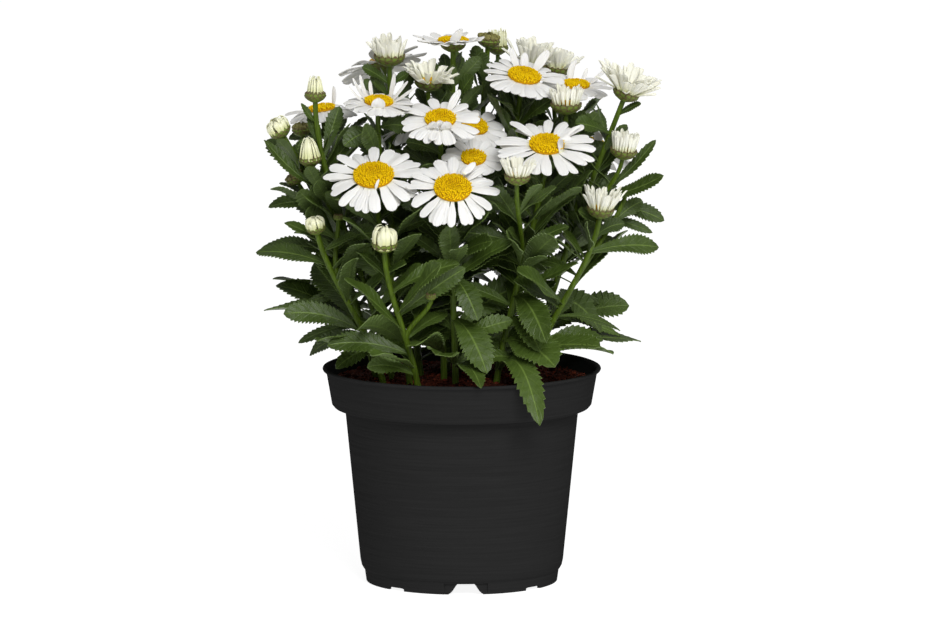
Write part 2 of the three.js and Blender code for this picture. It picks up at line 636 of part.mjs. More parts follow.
// One ray alone and a little larger, to test whether it is clear of what stands round it.
function rayProbe(head, ring, ray, lift, scale) {
  const points = rayPoints(head, ring, ray, lift, scale, CLEARANCE);
  const sheet = new Sheet();
  const side = new THREE.Vector3(0, ring * 0.12, 0).applyAxisAngle(UP, ray.angle);
  const middle = points.rootAbove.clone().add(points.rootBelow).multiplyScalar(0.5);
  const leftRoot = sheet.point(middle.clone().add(side));
  const rightRoot = sheet.point(middle.clone().sub(side));
  const root = addRay(sheet, points, leftRoot, rightRoot);
  sheet.add([[root.above, leftRoot, root.below], [root.above, root.below, rightRoot]]);
  return sheet.geometry();
}

// All the rays of a head, grown together at the ring round its disc. An opening head has a low
// core inside its rays.
function raysGeometry(head, ring, choices) {
  const sheet = new Sheet();
  const core = head.kind === 'open' ? RAY_LEVEL + RAY_THICKNESS / 2 : head.height * CORE_RISE;
  const crown = sheet.point(new THREE.Vector3(0, 0, core));
  const floor = sheet.point(new THREE.Vector3(0, 0, RAY_LEVEL - RAY_ROOT_THICKNESS / 2));
  const gaps = choices.map((_, i) => sheet.point(gapPoint(head, ring, i - 0.5)));
  choices.forEach(({ ray, lift, scale }, i) => {
    const leftRoot = gaps[(i + 1) % gaps.length];
    const rightRoot = gaps[i];
    const root = addRay(sheet, rayPoints(head, ring, ray, lift, scale), leftRoot, rightRoot);
    sheet.add([[crown, root.above, leftRoot], [crown, rightRoot, root.above]]);
    sheet.add([[floor, leftRoot, root.below], [floor, root.below, rightRoot]]);
  });
  return sheet.geometry();
}

// The dome of florets: rows of knobs that stand out in turn.
function discGeometry(head) {
  const radius = head.disc / 2;
  const profile = [
    [0, DISC_FLOOR],
    ...DISC_ROWS.map(([out, up]) => [radius * out, DISC_FLOOR + radius * up]),
    [0, DISC_FLOOR + radius * DISC_DIMPLE],
  ];
  const disc = turned(profile, DISC_SIDES);
  const places = disc.getAttribute('position');
  for (let i = 0; i < places.count; i += 1) {
    const row = Math.round((places.getZ(i) - DISC_FLOOR) / (radius * DISC_ROWS[1][1]));
    const knob = 1 - FLORET_RELIEF * (Math.abs(sideOf(places, i, DISC_SIDES) + row) % 2);
    if (row > 0) {
      places.setXYZ(i, places.getX(i) * knob, places.getY(i) * knob,
        DISC_FLOOR + (places.getZ(i) - DISC_FLOOR) * (2 - knob));
    }
  }
  return disc;
}

// Leaves

// The half width of a leaf along its length, as a share of its widest: narrow at the stem, widest
// past the middle.
function leafSpread(place) {
  return LEAF_NECK + (1 - LEAF_NECK) * Math.sin(Math.PI * place ** LEAF_SHAPE[0]) ** LEAF_SHAPE[1];
}

// The outline along one side: smooth up to the first tooth, then notch and tooth in turn.
function leafSide(teeth) {
  const side = [{ place: 0, cut: 1 }];
  const step = (LEAF_TOOTH_END - LEAF_TOOTH_START) / teeth;
  for (let tooth = 0; tooth < teeth; tooth += 1) {
    const start = LEAF_TOOTH_START + tooth * step;
    side.push({ place: start, cut: LEAF_NOTCH });
    side.push({ place: start + step * LEAF_TOOTH_POINT, cut: LEAF_TOOTH });
  }
  return side;
}

function leafGeometry(leaf, grow = 0) {
  const root = leaf.root;
  const tip = leaf.tip.clone();
  const chord = tip.clone().sub(root);
  tip.addScaledVector(chord.clone().normalize(), grow);
  const control = root.clone().addScaledVector(chord, 0.5).addScaledVector(UP, leaf.arch);
  const rib = new THREE.QuadraticBezierCurve3(root, control, tip);
  const across = new THREE.Vector3(-chord.y, chord.x, 0).normalize();
  const frame = (place) => {
    const tangent = rib.getTangent(place);
    const normal = new THREE.Vector3().crossVectors(tangent, across).normalize();
    const side = across.clone().multiplyScalar(Math.cos(leaf.roll));
    side.addScaledVector(normal, Math.sin(leaf.roll));
    return { at: rib.getPoint(place), side, normal: normal.crossVectors(tangent, side).normalize() };
  };
  const sheet = new Sheet();
  const end = sheet.point(tip);
  const above = [];
  const below = [];
  const ribs = leaf.teeth > 3 ? LEAF_RIBS : LEAF_RIBS_SHORT;
  for (const place of [0, ...ribs]) {
    const { at, normal } = frame(place);
    above.push(sheet.point(at.clone().addScaledVector(normal, LEAF_THICKNESS / 2 + grow)));
    below.push(sheet.point(at.clone().addScaledVector(normal, -LEAF_THICKNESS / 2 - grow)));
  }
  const outline = leafSide(leaf.teeth);
  const [left, right] = [1, -1].map((hand) => outline.map(({ place, cut }) => {
    const { at, side, normal } = frame(place);
    const half = (leaf.width / 2) * leafSpread(place) * cut + grow;
    const wave = LEAF_WAVE * Math.sin(place * LEAF_WAVES + leaf.phase - hand);
    at.addScaledVector(side, half * hand).addScaledVector(normal, half * (LEAF_FOLD + wave));
    return sheet.point(at);
  }));
  sheet.add([[above[0], left[0], below[0]], [above[0], below[0], right[0]]]);
  for (const chain of [above, below, left, right]) {
    chain.push(end);
  }
  const ribPlaces = [0, ...ribs, 1];
  const sidePlaces = [...outline.map(({ place }) => place), 1];
  addBlade(sheet, above, below, ribPlaces, left, right, sidePlaces);
  return sheet.geometry();
}

// How far a leaf rolls about its rib so that its upper face leans towards a side.
function rollTowards(root, tip, side) {
  const across = new THREE.Vector3(root.y - tip.y, tip.x - root.x, 0).normalize();
  return -LEAF_LEAN * across.dot(side);
}

// A leaf turned about the upright line through its root, its tip raised, and its size changed.
function bentLeaf(leaf, turn, lift, scale) {
  const chord = leaf.tip.clone().sub(leaf.root).multiplyScalar(scale);
  chord.applyAxisAngle(UP, THREE.MathUtils.degToRad(turn));
  chord.z += chord.length() * lift;
  return {
    ...leaf,
    tip: leaf.root.clone().add(chord),
    width: leaf.width * (0.4 + 0.6 * scale),
    arch: leaf.arch * scale,
  };
}

// Whether a leaf stands in front of a head, which the photograph shows clear. Its camera looks down
// a little, so what is nearer shows lower.
function hidesAHead(geometry) {
  const places = geometry.getAttribute('position');
  return Object.values(HEADS).some(({ kind, at, width }) => {
    const [wide, tall] = HEAD_SHAPE_IN_VIEW[kind];
    return Array.from({ length: places.count }, (_, i) => i).some((i) => {
      const across = (places.getX(i) - at[0]) / (width * wide);
      const up = (places.getZ(i) - at[2] + VIEW_DROP * (places.getY(i) - at[1])) / (width * tall);
      return places.getY(i) < at[1] && Math.hypot(across, up) < 1;
    });
  });
}

function leafTries() {
  const tries = [];
  for (const scale of LEAF_SCALES) {
    for (const turn of LEAF_TURNS) {
      for (const lift of LEAF_LIFTS) {
        const cost = Math.abs(turn) * TURN_COST + Math.abs(lift) * LIFT_COST + (1 - scale) * SCALE_COST;
        tries.push({ scale, turn, lift, cost });
      }
    }
  }
  return tries.sort((a, b) => a.cost - b.cost);
}

// Placing: every piece is kept with its owner, which is the head or the stem it grows on, and a
// leaf or a ray takes the first posture in which it is clear of all that has another owner.

const placed = [];

function keep(owner, geometry) {
  geometry.computeBoundingBox();
  const solid = solidOf(geometry);
  placed.push({ owner, solid, box: geometry.boundingBox.clone() });
  return solid;
}

// Whether a body is clear of every piece but those of one owner.
function isClear(geometry, owner) {
  geometry.computeBoundingBox();
  const box = geometry.boundingBox;
  const near = placed.filter((piece) => piece.owner !== owner && piece.box.intersectsBox(box));
  if (near.length === 0) {
    return true;
  }
  const probe = solidOf(geometry);
  const clear = near.every((piece) => {
    const common = probe.intersect(piece.solid);
    const empty = common.isEmpty();
    common.delete();
    return empty;
  });
  probe.delete();
  return clear;
}

// Building

const group = new THREE.Group();

function addMesh(name, geometry, material) {
  const mesh = new THREE.Mesh(geometry, material.clone());
  mesh.name = name;
  group.add(mesh);
  return mesh;
}

function numbered(name, number) {
  return `${name}_${String(number).padStart(2, '0')}`;
}

const headNames = Object.keys(HEADS);
const openNames = Object.keys(OPEN_BLOOMS);
const openingNames = Object.keys(OPENING_HEADS);

const pot = potSolid();
keep('pot', geometryOf(pot));

// Stems, stalks, cups and buds
const curves = {};
const greens = STEMS.map((stem, number) => {
  const node = numbered('leafy_stem', number + 1);
  const level = soilLevel(Math.hypot(...stem.foot));
  const foot = new THREE.Vector3(stem.foot[0], stem.foot[1], level - STEM_DEPTH);
  const main = new Stalk(foot, stemHeading(stem.foot, HEADS[stem.top]), HEADS[stem.top], STEM_STEPS);
  const pieces = [keep(`stem of ${stem.top}`, stalkGeometry(main, STEM_RADIUS))];
  curves[stem.top] = main;
  for (const [name, height] of Object.entries(stem.stalks)) {
    const { at, heading } = main.atHeight(height);
    curves[name] = new Stalk(at, heading, HEADS[name], STALK_STEPS);
    pieces.push(keep(`stem of ${name}`, stalkGeometry(curves[name], STALK_RADIUS)));
  }
  return { node, stem, main, pieces };
});

let soil = solidOf(soilGeometry());
for (const { main } of greens) {
  soil = soil.subtract(solidOf(holeGeometry(main)));
}
keep('soil', geometryOf(soil));

addMesh('pot', geometryOf(pot), POT_BLACK);
addMesh('soil', geometryOf(soil), PEAT);

// Discs first, so that every ray is bent clear of them
openNames.forEach((name, number) => {
  const head = HEADS[name];
  const node = `${numbered('bloom', number + 1)}_disc`;
  const disc = addMesh(node, geometryOf(solidOf(discGeometry(head))), DISC_YELLOW);
  disc.position.set(...head.at);
  disc.quaternion.copy(turnOf(head));
  keep(name, discGeometry(head).applyQuaternion(turnOf(head)).translate(...head.at));
});

// Opening heads stand close and upright, so their rays come before those of the open blooms
[...openingNames, ...openNames].forEach((name) => {
  const head = HEADS[name];
  const open = head.kind === 'open';
  const number = (open ? openNames : openingNames).indexOf(name) + 1;
  const node = open ? `${numbered('bloom', number)}_rays` : numbered('opening', number);
  const { ring, rays } = rayPlan(head, headNames.indexOf(name) + 1);
  const toPlace = (geometry) => geometry.applyQuaternion(turnOf(head)).translate(...head.at);
  const choices = rays.map((ray) => {
    for (const scale of RAY_SCALES) {
      for (const lift of RAY_LIFTS) {
        if (isClear(toPlace(rayProbe(head, ring, ray, lift, scale)), name)) {
          return { ray, lift, scale };
        }
      }
    }
    return { ray, lift: 0, scale: RAY_SCALES.at(-1) };
  });
  const mesh = addMesh(node, raysGeometry(head, ring, choices), open ? RAY_WHITE : RAY_CREAM);
  mesh.position.set(...head.at);
  mesh.quaternion.copy(turnOf(head));
  keep(name, toPlace(raysGeometry(head, ring, choices)));
});

// Large leaves by hand, then smaller ones all the way round each stem
const tries = leafTries();

function growLeaf(green, parent, leaf, reach, mayHide) {
  const choice = tries.find(({ turn, lift, scale }) => {
    const bent = bentLeaf(leaf, turn, lift, scale);
    const probe = leafGeometry(bent, CLEARANCE);
    return Math.hypot(bent.tip.x / SPREAD_WIDTH, bent.tip.y / SPREAD_DEPTH) < reach
      && (mayHide || !hidesAHead(probe))
      && isClear(probe, `stem of ${parent}`);
  });
  if (choice) {
    const bent = bentLeaf(leaf, choice.turn, choice.lift, choice.scale);
    green.pieces.push(keep(`leaf of ${parent}`, leafGeometry(bent)));
  }
}

LARGE_LEAVES.forEach((large, number) => {
  const green = greens.find(({ stem }) => stem.top === large.on || large.on in stem.stalks);
  const curve = curves[large.on];
  const draw = drawsFor(500 + number);
  const root = curve.atHeight(large.root).at;
  const tip = point3(large.tip);
  growLeaf(green, large.on, {
    root,
    tip,
    width: large.width * LARGE_LEAF_BREADTH,
    arch: large.arch,
    teeth: large.teeth,
    roll: rollTowards(root, tip, FRONT) + (draw() - 0.5) * LARGE_LEAF_ROLL,
    phase: draw() * 2 * Math.PI,
  }, LARGE_LEAF_REACH, true);
});

greens.forEach((green, number) => {
  const draw = drawsFor(900 + number);
  const [footX, footY] = green.stem.foot;
  const outwards = new THREE.Vector3(footX, footY, 0).normalize();
  const top = HEADS[green.stem.top].at[2] - BARE_NECK;
  for (let i = 0; i < LEAVES_ON_A_STEM; i += 1) {
    const up = (i + draw() * 0.7) / LEAVES_ON_A_STEM;
    const root = green.main.atHeight(THREE.MathUtils.lerp(LEAVES_FROM, top, up)).at;
    const turn = i * GOLDEN_TURN + (draw() - 0.5) * LEAF_TURN_SPREAD;
    const angle = Math.atan2(footY, footX) + THREE.MathUtils.degToRad(turn);
    const length = THREE.MathUtils.lerp(...LEAF_LENGTHS, up) + draw() * LEAF_LENGTH_SPREAD;
    const slope = THREE.MathUtils.lerp(...LEAF_SLOPES, up) + draw() * LEAF_SLOPE_SPREAD;
    const reach = new THREE.Vector3().setFromSphericalCoords(
      length,
      THREE.MathUtils.degToRad(90 - slope),
      Math.PI / 2 + angle,
    );
    const tip = root.clone().add(new THREE.Vector3(reach.x, -reach.z, reach.y));
    growLeaf(green, green.stem.top, {
      root,
      tip,
      width: length * (LEAF_BREADTH + LEAF_BREADTH_SPREAD * draw()),
      arch: LEAF_ARCH * (1 + draw()) * (1 - up),
      teeth: up < TEETH_CHANGE_AT ? 3 : 2,
      roll: rollTowards(root, tip, outwards) + (draw() - 0.5) * LEAF_ROLL,
      phase: draw() * 2 * Math.PI,
    }, 1, false);
  }
});

greens.forEach(({ node, pieces }) => addMesh(node, geometryOf(fuse(pieces)), LEAF_GREEN));

export default group;
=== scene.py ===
"""Potted shasta daisy: the fine surfaces of the plant, its pot and its soil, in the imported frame.

Places are in millimetres, in the part's own frame: +Z up and -Y the front. A mesh is in metres.
"""

import math

import bpy
import numpy as np
from bpy.props import FloatProperty, FloatVectorProperty, IntProperty, PointerProperty
from bpy.types import Operator, Panel, PropertyGroup
from mathutils import Matrix, Vector, noise
from mathutils.bvhtree import BVHTree
from mathutils.kdtree import KDTree


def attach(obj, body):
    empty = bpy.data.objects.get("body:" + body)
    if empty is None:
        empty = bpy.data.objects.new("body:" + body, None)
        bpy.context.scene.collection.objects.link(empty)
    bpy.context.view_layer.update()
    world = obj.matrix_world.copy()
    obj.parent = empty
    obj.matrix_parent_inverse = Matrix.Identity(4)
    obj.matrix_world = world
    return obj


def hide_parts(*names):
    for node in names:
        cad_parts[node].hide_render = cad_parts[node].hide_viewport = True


bl_info = {
    "name": "Potted shasta daisy",
    "version": (1, 0, 0),
    "blender": (4, 5, 0),
    "location": "View3D > Sidebar > Daisy",
    "description": "Models the fine surfaces of a potted shasta daisy round its packed solids",
    "category": "Object",
}

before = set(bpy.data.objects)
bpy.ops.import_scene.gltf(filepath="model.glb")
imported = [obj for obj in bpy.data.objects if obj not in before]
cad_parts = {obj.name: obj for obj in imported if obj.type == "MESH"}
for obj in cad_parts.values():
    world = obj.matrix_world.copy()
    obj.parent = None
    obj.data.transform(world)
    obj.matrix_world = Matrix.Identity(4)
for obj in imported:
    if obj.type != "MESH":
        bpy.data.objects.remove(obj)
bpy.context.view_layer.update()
MM = 0.001
UP = np.array([0.0, 0.0, 1.0])

# Heads: where the middle of each one is, which way it faces, and its width. An open bloom also
# has the width of its disc, an opening head the height of its upright rays and the radius of its
# cup, and a closed bud the height that shows above its cup.
OPEN_BLOOMS = {
    "F1": dict(at=(-59.5, -58, 284.7), face=(-0.05, -0.48, 0.87), width=71, disc=28, rays=16, droop=20),
    "F2": dict(at=(-6.2, -72, 278.1), face=(0.05, -0.58, 0.81), width=66, disc=26, rays=16, droop=36),
    "F3": dict(at=(57.5, -40, 303.4), face=(0.05, -0.42, 0.9), width=75, disc=24.5, rays=16),
    "F5": dict(at=(42.4, 25, 342.1), face=(0.17, -0.33, 0.93), width=62, disc=23.4, rays=14),
    "F4": dict(at=(-14.5, -28, 319.4), face=(0, -0.45, 0.89), width=60, disc=21.5, rays=14),
    "F8": dict(at=(-56.4, -12, 329.1), face=(0.05, -0.2, 0.98), width=52, disc=20, rays=12),
    "F11": dict(at=(77.8, 45, 333.5), face=(0.05, -0.15, 0.98), width=56, disc=19.6, rays=12),
    "F9": dict(at=(-95.3, 26, 319.5), face=(-0.12, -0.07, 0.99), width=54, disc=19, rays=12, rise=-9),
    "F7": dict(at=(8.5, 25, 308), face=(0.25, -0.45, 0.85), width=50, disc=19, rays=12),
    "F6": dict(at=(8, -25, 292.7), face=(0, -0.5, 0.86), width=46, disc=17.5, rays=12),
    "F10": dict(at=(-6, 50, 363), face=(0, 0, 1), width=47, disc=21, rays=11, rise=18),
    "F14": dict(at=(-33, 10, 311), face=(-0.3, 0.12, 0.92), width=54, disc=19, rays=11, droop=45),
    "F12": dict(at=(-55, 72, 344.8), face=(-0.25, 0.42, 0.87), width=66, disc=22, rays=11),
    "F17": dict(at=(93, 68, 288), face=(0.4, 0.4, 0.8), width=62, disc=22, rays=11),
    "F15": dict(at=(-62, 62, 268), face=(-0.35, 0.5, 0.8), width=66, disc=23, rays=11),
    "F16": dict(at=(-18, 84, 306), face=(0.05, 0.55, 0.83), width=64, disc=22, rays=11),
}
OPENING_HEADS = {
    "H1": dict(at=(-49.3, 26, 357), face=(0, -0.05, 1), width=28, height=13, cup=10.5, rays=8),
    "H2": dict(at=(-22.5, 31, 339), face=(0.05, -0.15, 0.98), width=38, height=12, cup=9.5, rays=10),
    "H3": dict(at=(112, 4, 335), face=(0.35, -0.1, 0.93), width=46, height=16, cup=9, rays=10),
    "H4": dict(at=(47.8, 74, 345.5), face=(0.1, -0.1, 0.98), width=30, height=18, cup=9.5, rays=8),
    "H5": dict(at=(70.9, 2, 327), face=(0, -0.05, 1), width=26, height=12.5, cup=10.4, rays=8),
    "H6": dict(at=(37.5, -86, 289.5), face=(0.05, -0.12, 0.99), width=27, height=12, cup=8.5, rays=8),
    "H7": dict(at=(110, -10, 297), face=(0.15, -0.1, 0.98), width=20, height=14, cup=9, rays=8),
    "H8": dict(at=(94, -38, 260.5), face=(0.12, -0.1, 0.98), width=27, height=15, cup=9, rays=9),
    "H9": dict(at=(65, 86, 341.5), face=(0.15, 0, 0.98), width=29, height=14.5, cup=9, rays=8),
}
BUDS = {
    "B1": dict(at=(-99.4, -14, 336.3), face=(0, 0, 1), width=14.3, height=10),
    "B2": dict(at=(-123.9, -8, 311), face=(-0.5, -0.1, 0.85), width=15, height=6),
    "B3": dict(at=(-108.9, 8, 310), face=(-0.1, -0.1, 0.98), width=13, height=4),
    "B4": dict(at=(-102.8, -25, 294), face=(-0.1, -0.1, 0.98), width=15, height=8),
    "B5": dict(at=(-113.8, -12, 279), face=(-0.5, -0.1, 0.85), width=13, height=3),
    "B6": dict(at=(-98.9, -45, 249.5), face=(-0.2, -0.2, 0.95), width=12.6, height=5),
    "B7": dict(at=(-52, -78, 243), face=(0, -0.2, 0.98), width=17, height=9),
    "B8": dict(at=(18.5, 70, 363.5), face=(0.1, -0.1, 0.99), width=15, height=4),
    "B9": dict(at=(-20.7, -70, 206.7), face=(0, -0.2, 0.98), width=6.4, height=2),
    "B10": dict(at=(-83.7, -30, 255.1), face=(0, 0, 1), width=5.5, height=2),
    "B11": dict(at=(112.6, -5, 269), face=(0.3, 0, 0.95), width=6.5, height=2),
    "B12": dict(at=(24.7, 90, 356), face=(0, 0, 1), width=14, height=12),
}

# Main stems: where each comes out of the soil, the head that ends it, and the heights where the
# stalks of its other heads leave it.
STEMS = [
    ((-56, 0), "B2", {"B3": 262, "B5": 228}),
    ((-45, -12), "B1", {"B4": 232}),
    ((-45, 22), "F9", {"F15": 205}),
    ((-51, -28), "B6", {"B10": 205}),
    ((-34, -40), "F1", {}),
    ((-27, 4), "F8", {}),
    ((-28, 34), "H1", {"F12": 238}),
    ((-28, -57), "B7", {"B9": 172}),
    ((-12, -16), "F4", {"F14": 240}),
    ((-4, -44), "F2", {"F6": 210}),
    ((-10, 20), "F10", {"H2": 268}),
    ((8, 48), "B8", {"F7": 232, "F16": 218}),
    ((24, 22), "F5", {"H4": 250, "B12": 262}),
    ((22, -34), "F3", {"H6": 205}),
    ((38, 42), "F11", {"H5": 225, "H9": 250}),
    ((44, 4), "H3", {"H7": 225, "F17": 200}),
    ((42, -28), "H8", {"B11": 205}),
]

# Large leaves: the head whose stem or stalk each grows from, the height of its root, its tip, its
# width, and how far its middle arches up.
LARGE_LEAVES = [
    ("B6", 176, (-121, -34, 188), 14, 10),
    ("B7", 164, (-91, -66, 171), 14, 9),
    ("B6", 222, (-140, -12, 227), 12, 7),
    ("B2", 223, (-137, 14, 226), 11, 9),
    ("B2", 258, (-130, -14, 257), 9, 6),
    ("B4", 272, (-134, -26, 306), 8, -7),
    ("B2", 168, (-104, 22, 151), 11, 12),
    ("B1", 160, (-82, -42, 151), 10, 10),
    ("B7", 150, (-64, -72, 157), 10, 7),
    ("B1", 198, (-105, -8, 192), 6, 6),
    ("F9", 172, (-112, 34, 158), 7, 10),
    ("F2", 186, (17, -88, 155), 17, 16),
    ("F2", 216, (11, -74, 189), 13, 10),
    ("F3", 232, (23, -72, 221), 14, 11),
    ("F3", 200, (57, -80, 175), 17, 15),
    ("F3", 184, (53, -67, 167), 12, 13),
    ("F3", 148, (44, -107, 122), 15, 46),
    ("F3", 170, (63, -77, 158), 23, 11),
    ("F2", 152, (13, -100, 140), 11, 18),
    ("H8", 166, (96, -24, 168), 14, 9),
    ("H3", 190, (95, 12, 168), 20, 20),
    ("H8", 186, (108, -4, 172), 6, 8),
    ("H3", 180, (112, 12, 164), 6, 8),
    ("H8", 230, (134, -8, 230), 12, 6),
    ("H7", 250, (130, 6, 238), 6, 5),
    ("H7", 257, (138, 8, 246), 10, 8),
    ("H7", 264, (142, -16, 282), 10, -5),
    ("H7", 271, (132, -2, 303), 7, -5),
    ("H3", 306, (77, -8, 315), 11, 3),
    ("F5", 316, (25, 22, 338), 12, -3),
    ("H3", 272, (38, -30, 252), 15, 13),
    ("B1", 206, (-100, -34, 224), 10, 8),
]

# The solids' own sizes, which the fine pieces follow
RIM_RADIUS = 95
POT_HEIGHT = 147
WALL = 1.4
FOOT_RADIUS = 65.2
FOOT_TOP = 9
WALL_FOOT_RADIUS = 68.2
SHOULDER_HEIGHT = 119.7
SHOULDER_RADIUS = 79.7
COLLAR_RADIUS = 88.6
FLOOR_UNDERSIDE = 8
NOTCH_TURN = 2.5
SOIL_EDGE = 137.5
SOIL_CROWN = 141
STEM_RADIUS = 2.3
STALK_RADIUS = 1.9
STEM_STEPS = 4
STALK_STEPS = 3
STEM_DEPTH = 11
STEM_RISE = 95
STEM_LEAN = 0.3
STEM_ARMS = (0.36, 0.28)
CUP_OF_DISC = 0.4
CUP_DEPTH = 0.55
BUD_DEPTH = 0.62
STALK_END = 1.6
RAY_LEVEL = 0.65
RAY_HALF_WIDTH = 5
RAY_BEND_AT = 0.6
RAY_WEDGE_SHARE = 0.88
CORE_OF_CUP = 0.85
DISC_GAP = 0.5
RAY_HABITS = {
    "open": dict(rise=4, rise_spread=11, layer_rise=3, bend=11, bend_spread=12, inner_length=1),
    "opening": dict(rise=0, rise_spread=7, layer_rise=2.5, bend=-6, bend_spread=12, inner_length=0.88),
}
RAY_TURN = 0.12
RAY_SHORTFALL = 0.14
RAY_TWIST = 0.36
LEAF_NECK = 0.17
LEAF_SHAPE = (1.7, 0.75)
LEAF_FOLD = 0.22
LEAF_WAVE = 0.12
LEAF_WAVES = 9
LEAF_LEAN = 0.85
RAY_LIFTS = (0, 7, -7, 14, -14, 22, -22, 32, -30, 44, 56)
RAY_SCALES = (1, 0.8, 0.6, 0.4, 0.25)
LEAF_TURNS = (0, 7, -7, 15, -15, 25, -25, 38, -38, 55, -55)
LEAF_LIFTS = (0, 0.12, -0.12, 0.25, -0.25, 0.42)
LEAF_SCALES = (1, 0.85, 0.7, 0.55)
LARGE_LEAF_BREADTH = 1.15
LARGE_LEAF_ROLL = 0.3
LEAVES_ON_A_STEM = 4
LEAVES_FROM = 154
BARE_NECK = 42
GOLDEN_TURN = 137.5
LEAF_TURN_SPREAD = 50
LEAF_LENGTHS = (74, 48)
LEAF_LENGTH_SPREAD = 12
LEAF_SLOPES = (4, 38)
LEAF_SLOPE_SPREAD = 16
LEAF_BREADTH = 0.27
LEAF_BREADTH_SPREAD = 0.05
LEAF_ARCH = 8
LEAF_ROLL = 0.5
SPREAD_WIDTH = 138
SPREAD_DEPTH = 103

# How much lower in the photograph a place is for each millimetre that it is nearer
VIEW_DROP = 0.144

# How near a point of the solids has to be to a worked out tip to count as that tip, in metres
SAME_POINT = 0.0001


def linear(colour):
    """The linear values of an sRGB hex colour."""
    values = [int(colour[i:i + 2], 16) / 255 for i in (1, 3, 5)]
    return tuple(v / 12.92 if v <= 0.04045 else ((v + 0.055) / 1.055) ** 2.4 for v in values)


# Settings

def colour_setting(name, description, colour):
    """A colour, given as sRGB hex."""
    return FloatVectorProperty(name=name, description=description, subtype="COLOR",
                               default=linear(colour), min=0, max=1)


def length_setting(name, description, size, low, high):
    """A length, given with its limits in millimetres."""
    return FloatProperty(name=name, description=description, default=size * MM, min=low * MM,
                         max=high * MM, unit="LENGTH")


class PotSettings(PropertyGroup):
    """Sizes and colour of the nursery pot."""

    colour: colour_setting("Pot colour", "Colour of the moulded plastic", "#242424")
    segments: IntProperty(
        name="Segments", description="Sides of the pot's round", default=120, min=24, max=256)
    edge: length_setting("Edge rounding", "Radius of the moulded edges", 0.5, 0.1, 1)


class SoilSettings(PropertyGroup):
    """Sizes and colours of the peat."""

    colour: colour_setting("Peat colour", "Colour of the damp peat", "#4a1f13")
    crumbs: IntProperty(
        name="Crumbs", description="Loose crumbs of bark and peat", default=1500, min=0, max=2000)
    crumb: length_setting("Crumb size", "Width of the largest crumb", 5.5, 1, 10)


class PlantSettings(PropertyGroup):
    """Sizes and colours of the plant."""

    leaf: colour_setting("Leaf green", "Colour of a leaf's upper face", "#2f400f")
    young_leaf: colour_setting("Young leaf green", "Colour of the palest leaves", "#526829")
    stem: colour_setting("Stem green", "Colour of the stems", "#4c6210")
    ray: colour_setting("Ray white", "Colour of the open rays", "#e4e3df")
    cream: colour_setting("Ray cream", "Colour of the rays that still stand upright", "#edecdc")
    floret: colour_setting("Floret yellow", "Colour of the disc florets", "#ecc808")
    ray_thickness: length_setting("Ray thickness", "Thickness of a ray", 0.35, 0.1, 1)
    leaf_thickness: length_setting("Leaf thickness", "Thickness of a leaf", 0.5, 0.2, 1.5)
    rays: IntProperty(
        name="Rays", description="Rays of an open bloom, in its two layers", default=27, min=16, max=34)
    leaf_step: length_setting("Leaf spacing", "Height between the leaves that fill a stem", 8, 5, 50)


class StageSettings(PropertyGroup):
    """Camera and light."""

    key: FloatProperty(
        name="Key light", description="Power of the large soft light", default=56, min=0, subtype="POWER")
    fill: FloatProperty(
        name="Fill light", description="Power of the two side lights", default=1, min=0, subtype="POWER")
    surround: FloatProperty(
        name="Surround", description="Brightness of the white surround", default=0.3, min=0)
    table: FloatProperty(
        name="Light table", description="Brightness of the floor itself, lit from below",
        default=0.9, min=0)
    elevation: FloatProperty(
        name="Camera elevation", description="How far the camera looks down", subtype="ANGLE",
        default=math.radians(8.2))
    distance: FloatProperty(
        name="Camera distance", description="From the camera to the plant", default=8, unit="LENGTH")


# Making meshes

def deselect():
    """Leaves nothing selected."""
    if bpy.context.object and bpy.context.object.mode != "OBJECT":
        bpy.ops.object.mode_set(mode="OBJECT")
    bpy.ops.object.select_all(action="DESELECT")


def read_mesh(piece):
    """Points in the piece's own units and faces as lists of corners; the piece is then removed."""
    mesh = piece.data
    points = np.zeros(len(mesh.vertices) * 3)
    mesh.vertices.foreach_get("co", points)
    faces = [list(face.vertices) for face in mesh.polygons]
    bpy.data.objects.remove(piece)
    bpy.data.meshes.remove(mesh)
    return points.reshape(-1, 3), faces


def apply_modifier(piece, kind, **settings):
    """Adds a modifier to a piece and applies it."""
    modifier = piece.modifiers.new(kind.title(), kind)
    for name, value in settings.items():
        setattr(modifier, name, value)
    bpy.context.view_layer.objects.active = piece
    bpy.ops.object.modifier_apply(modifier=modifier.name)


def close_outwards():
    """Turns the edited piece's faces outwards and leaves edit mode."""
    bpy.ops.mesh.select_all(action="SELECT")
    bpy.ops.mesh.normals_make_consistent(inside=False)
    bpy.ops.object.mode_set(mode="OBJECT")


def smooth_by_angle(piece, degrees):
    """Smooth shading, with the sharper edges kept."""
    deselect()
    piece.select_set(True)
    bpy.context.view_layer.objects.active = piece
    bpy.ops.object.shade_smooth_by_angle(angle=math.radians(degrees))


class Blade:
    """A thin solid blade, modelled once. Each of its points knows its row from root to tip, its
    place across from -1 to 1, and its face, 1 above and -1 below."""

    def __init__(self, columns, places):
        deselect()
        bpy.ops.mesh.primitive_grid_add(
            x_subdivisions=columns, y_subdivisions=len(places) - 1, size=2)
        grid = bpy.context.object
        apply_modifier(grid, "SOLIDIFY", thickness=2, offset=0)
        points, self.faces = read_mesh(grid)
        rows = np.unique(points[:, 1].round(4))
        self.row = np.searchsorted(rows, points[:, 1].round(4))
        self.across = -points[:, 0]
        self.face = np.sign(points[:, 2])
        self.places = np.array(places)
        self.place = self.places[self.row]
        self.uv = np.stack([(self.across + 1) / 2, self.place], axis=1)
        if len(rows) != len(places):
            raise RuntimeError(f"a blade has {len(rows)} rows and needs {len(places)}")


class Form:
    """A small closed form, modelled once, such as a floret or a crumb."""

    def __init__(self, points, faces):
        self.points = points
        self.faces = faces


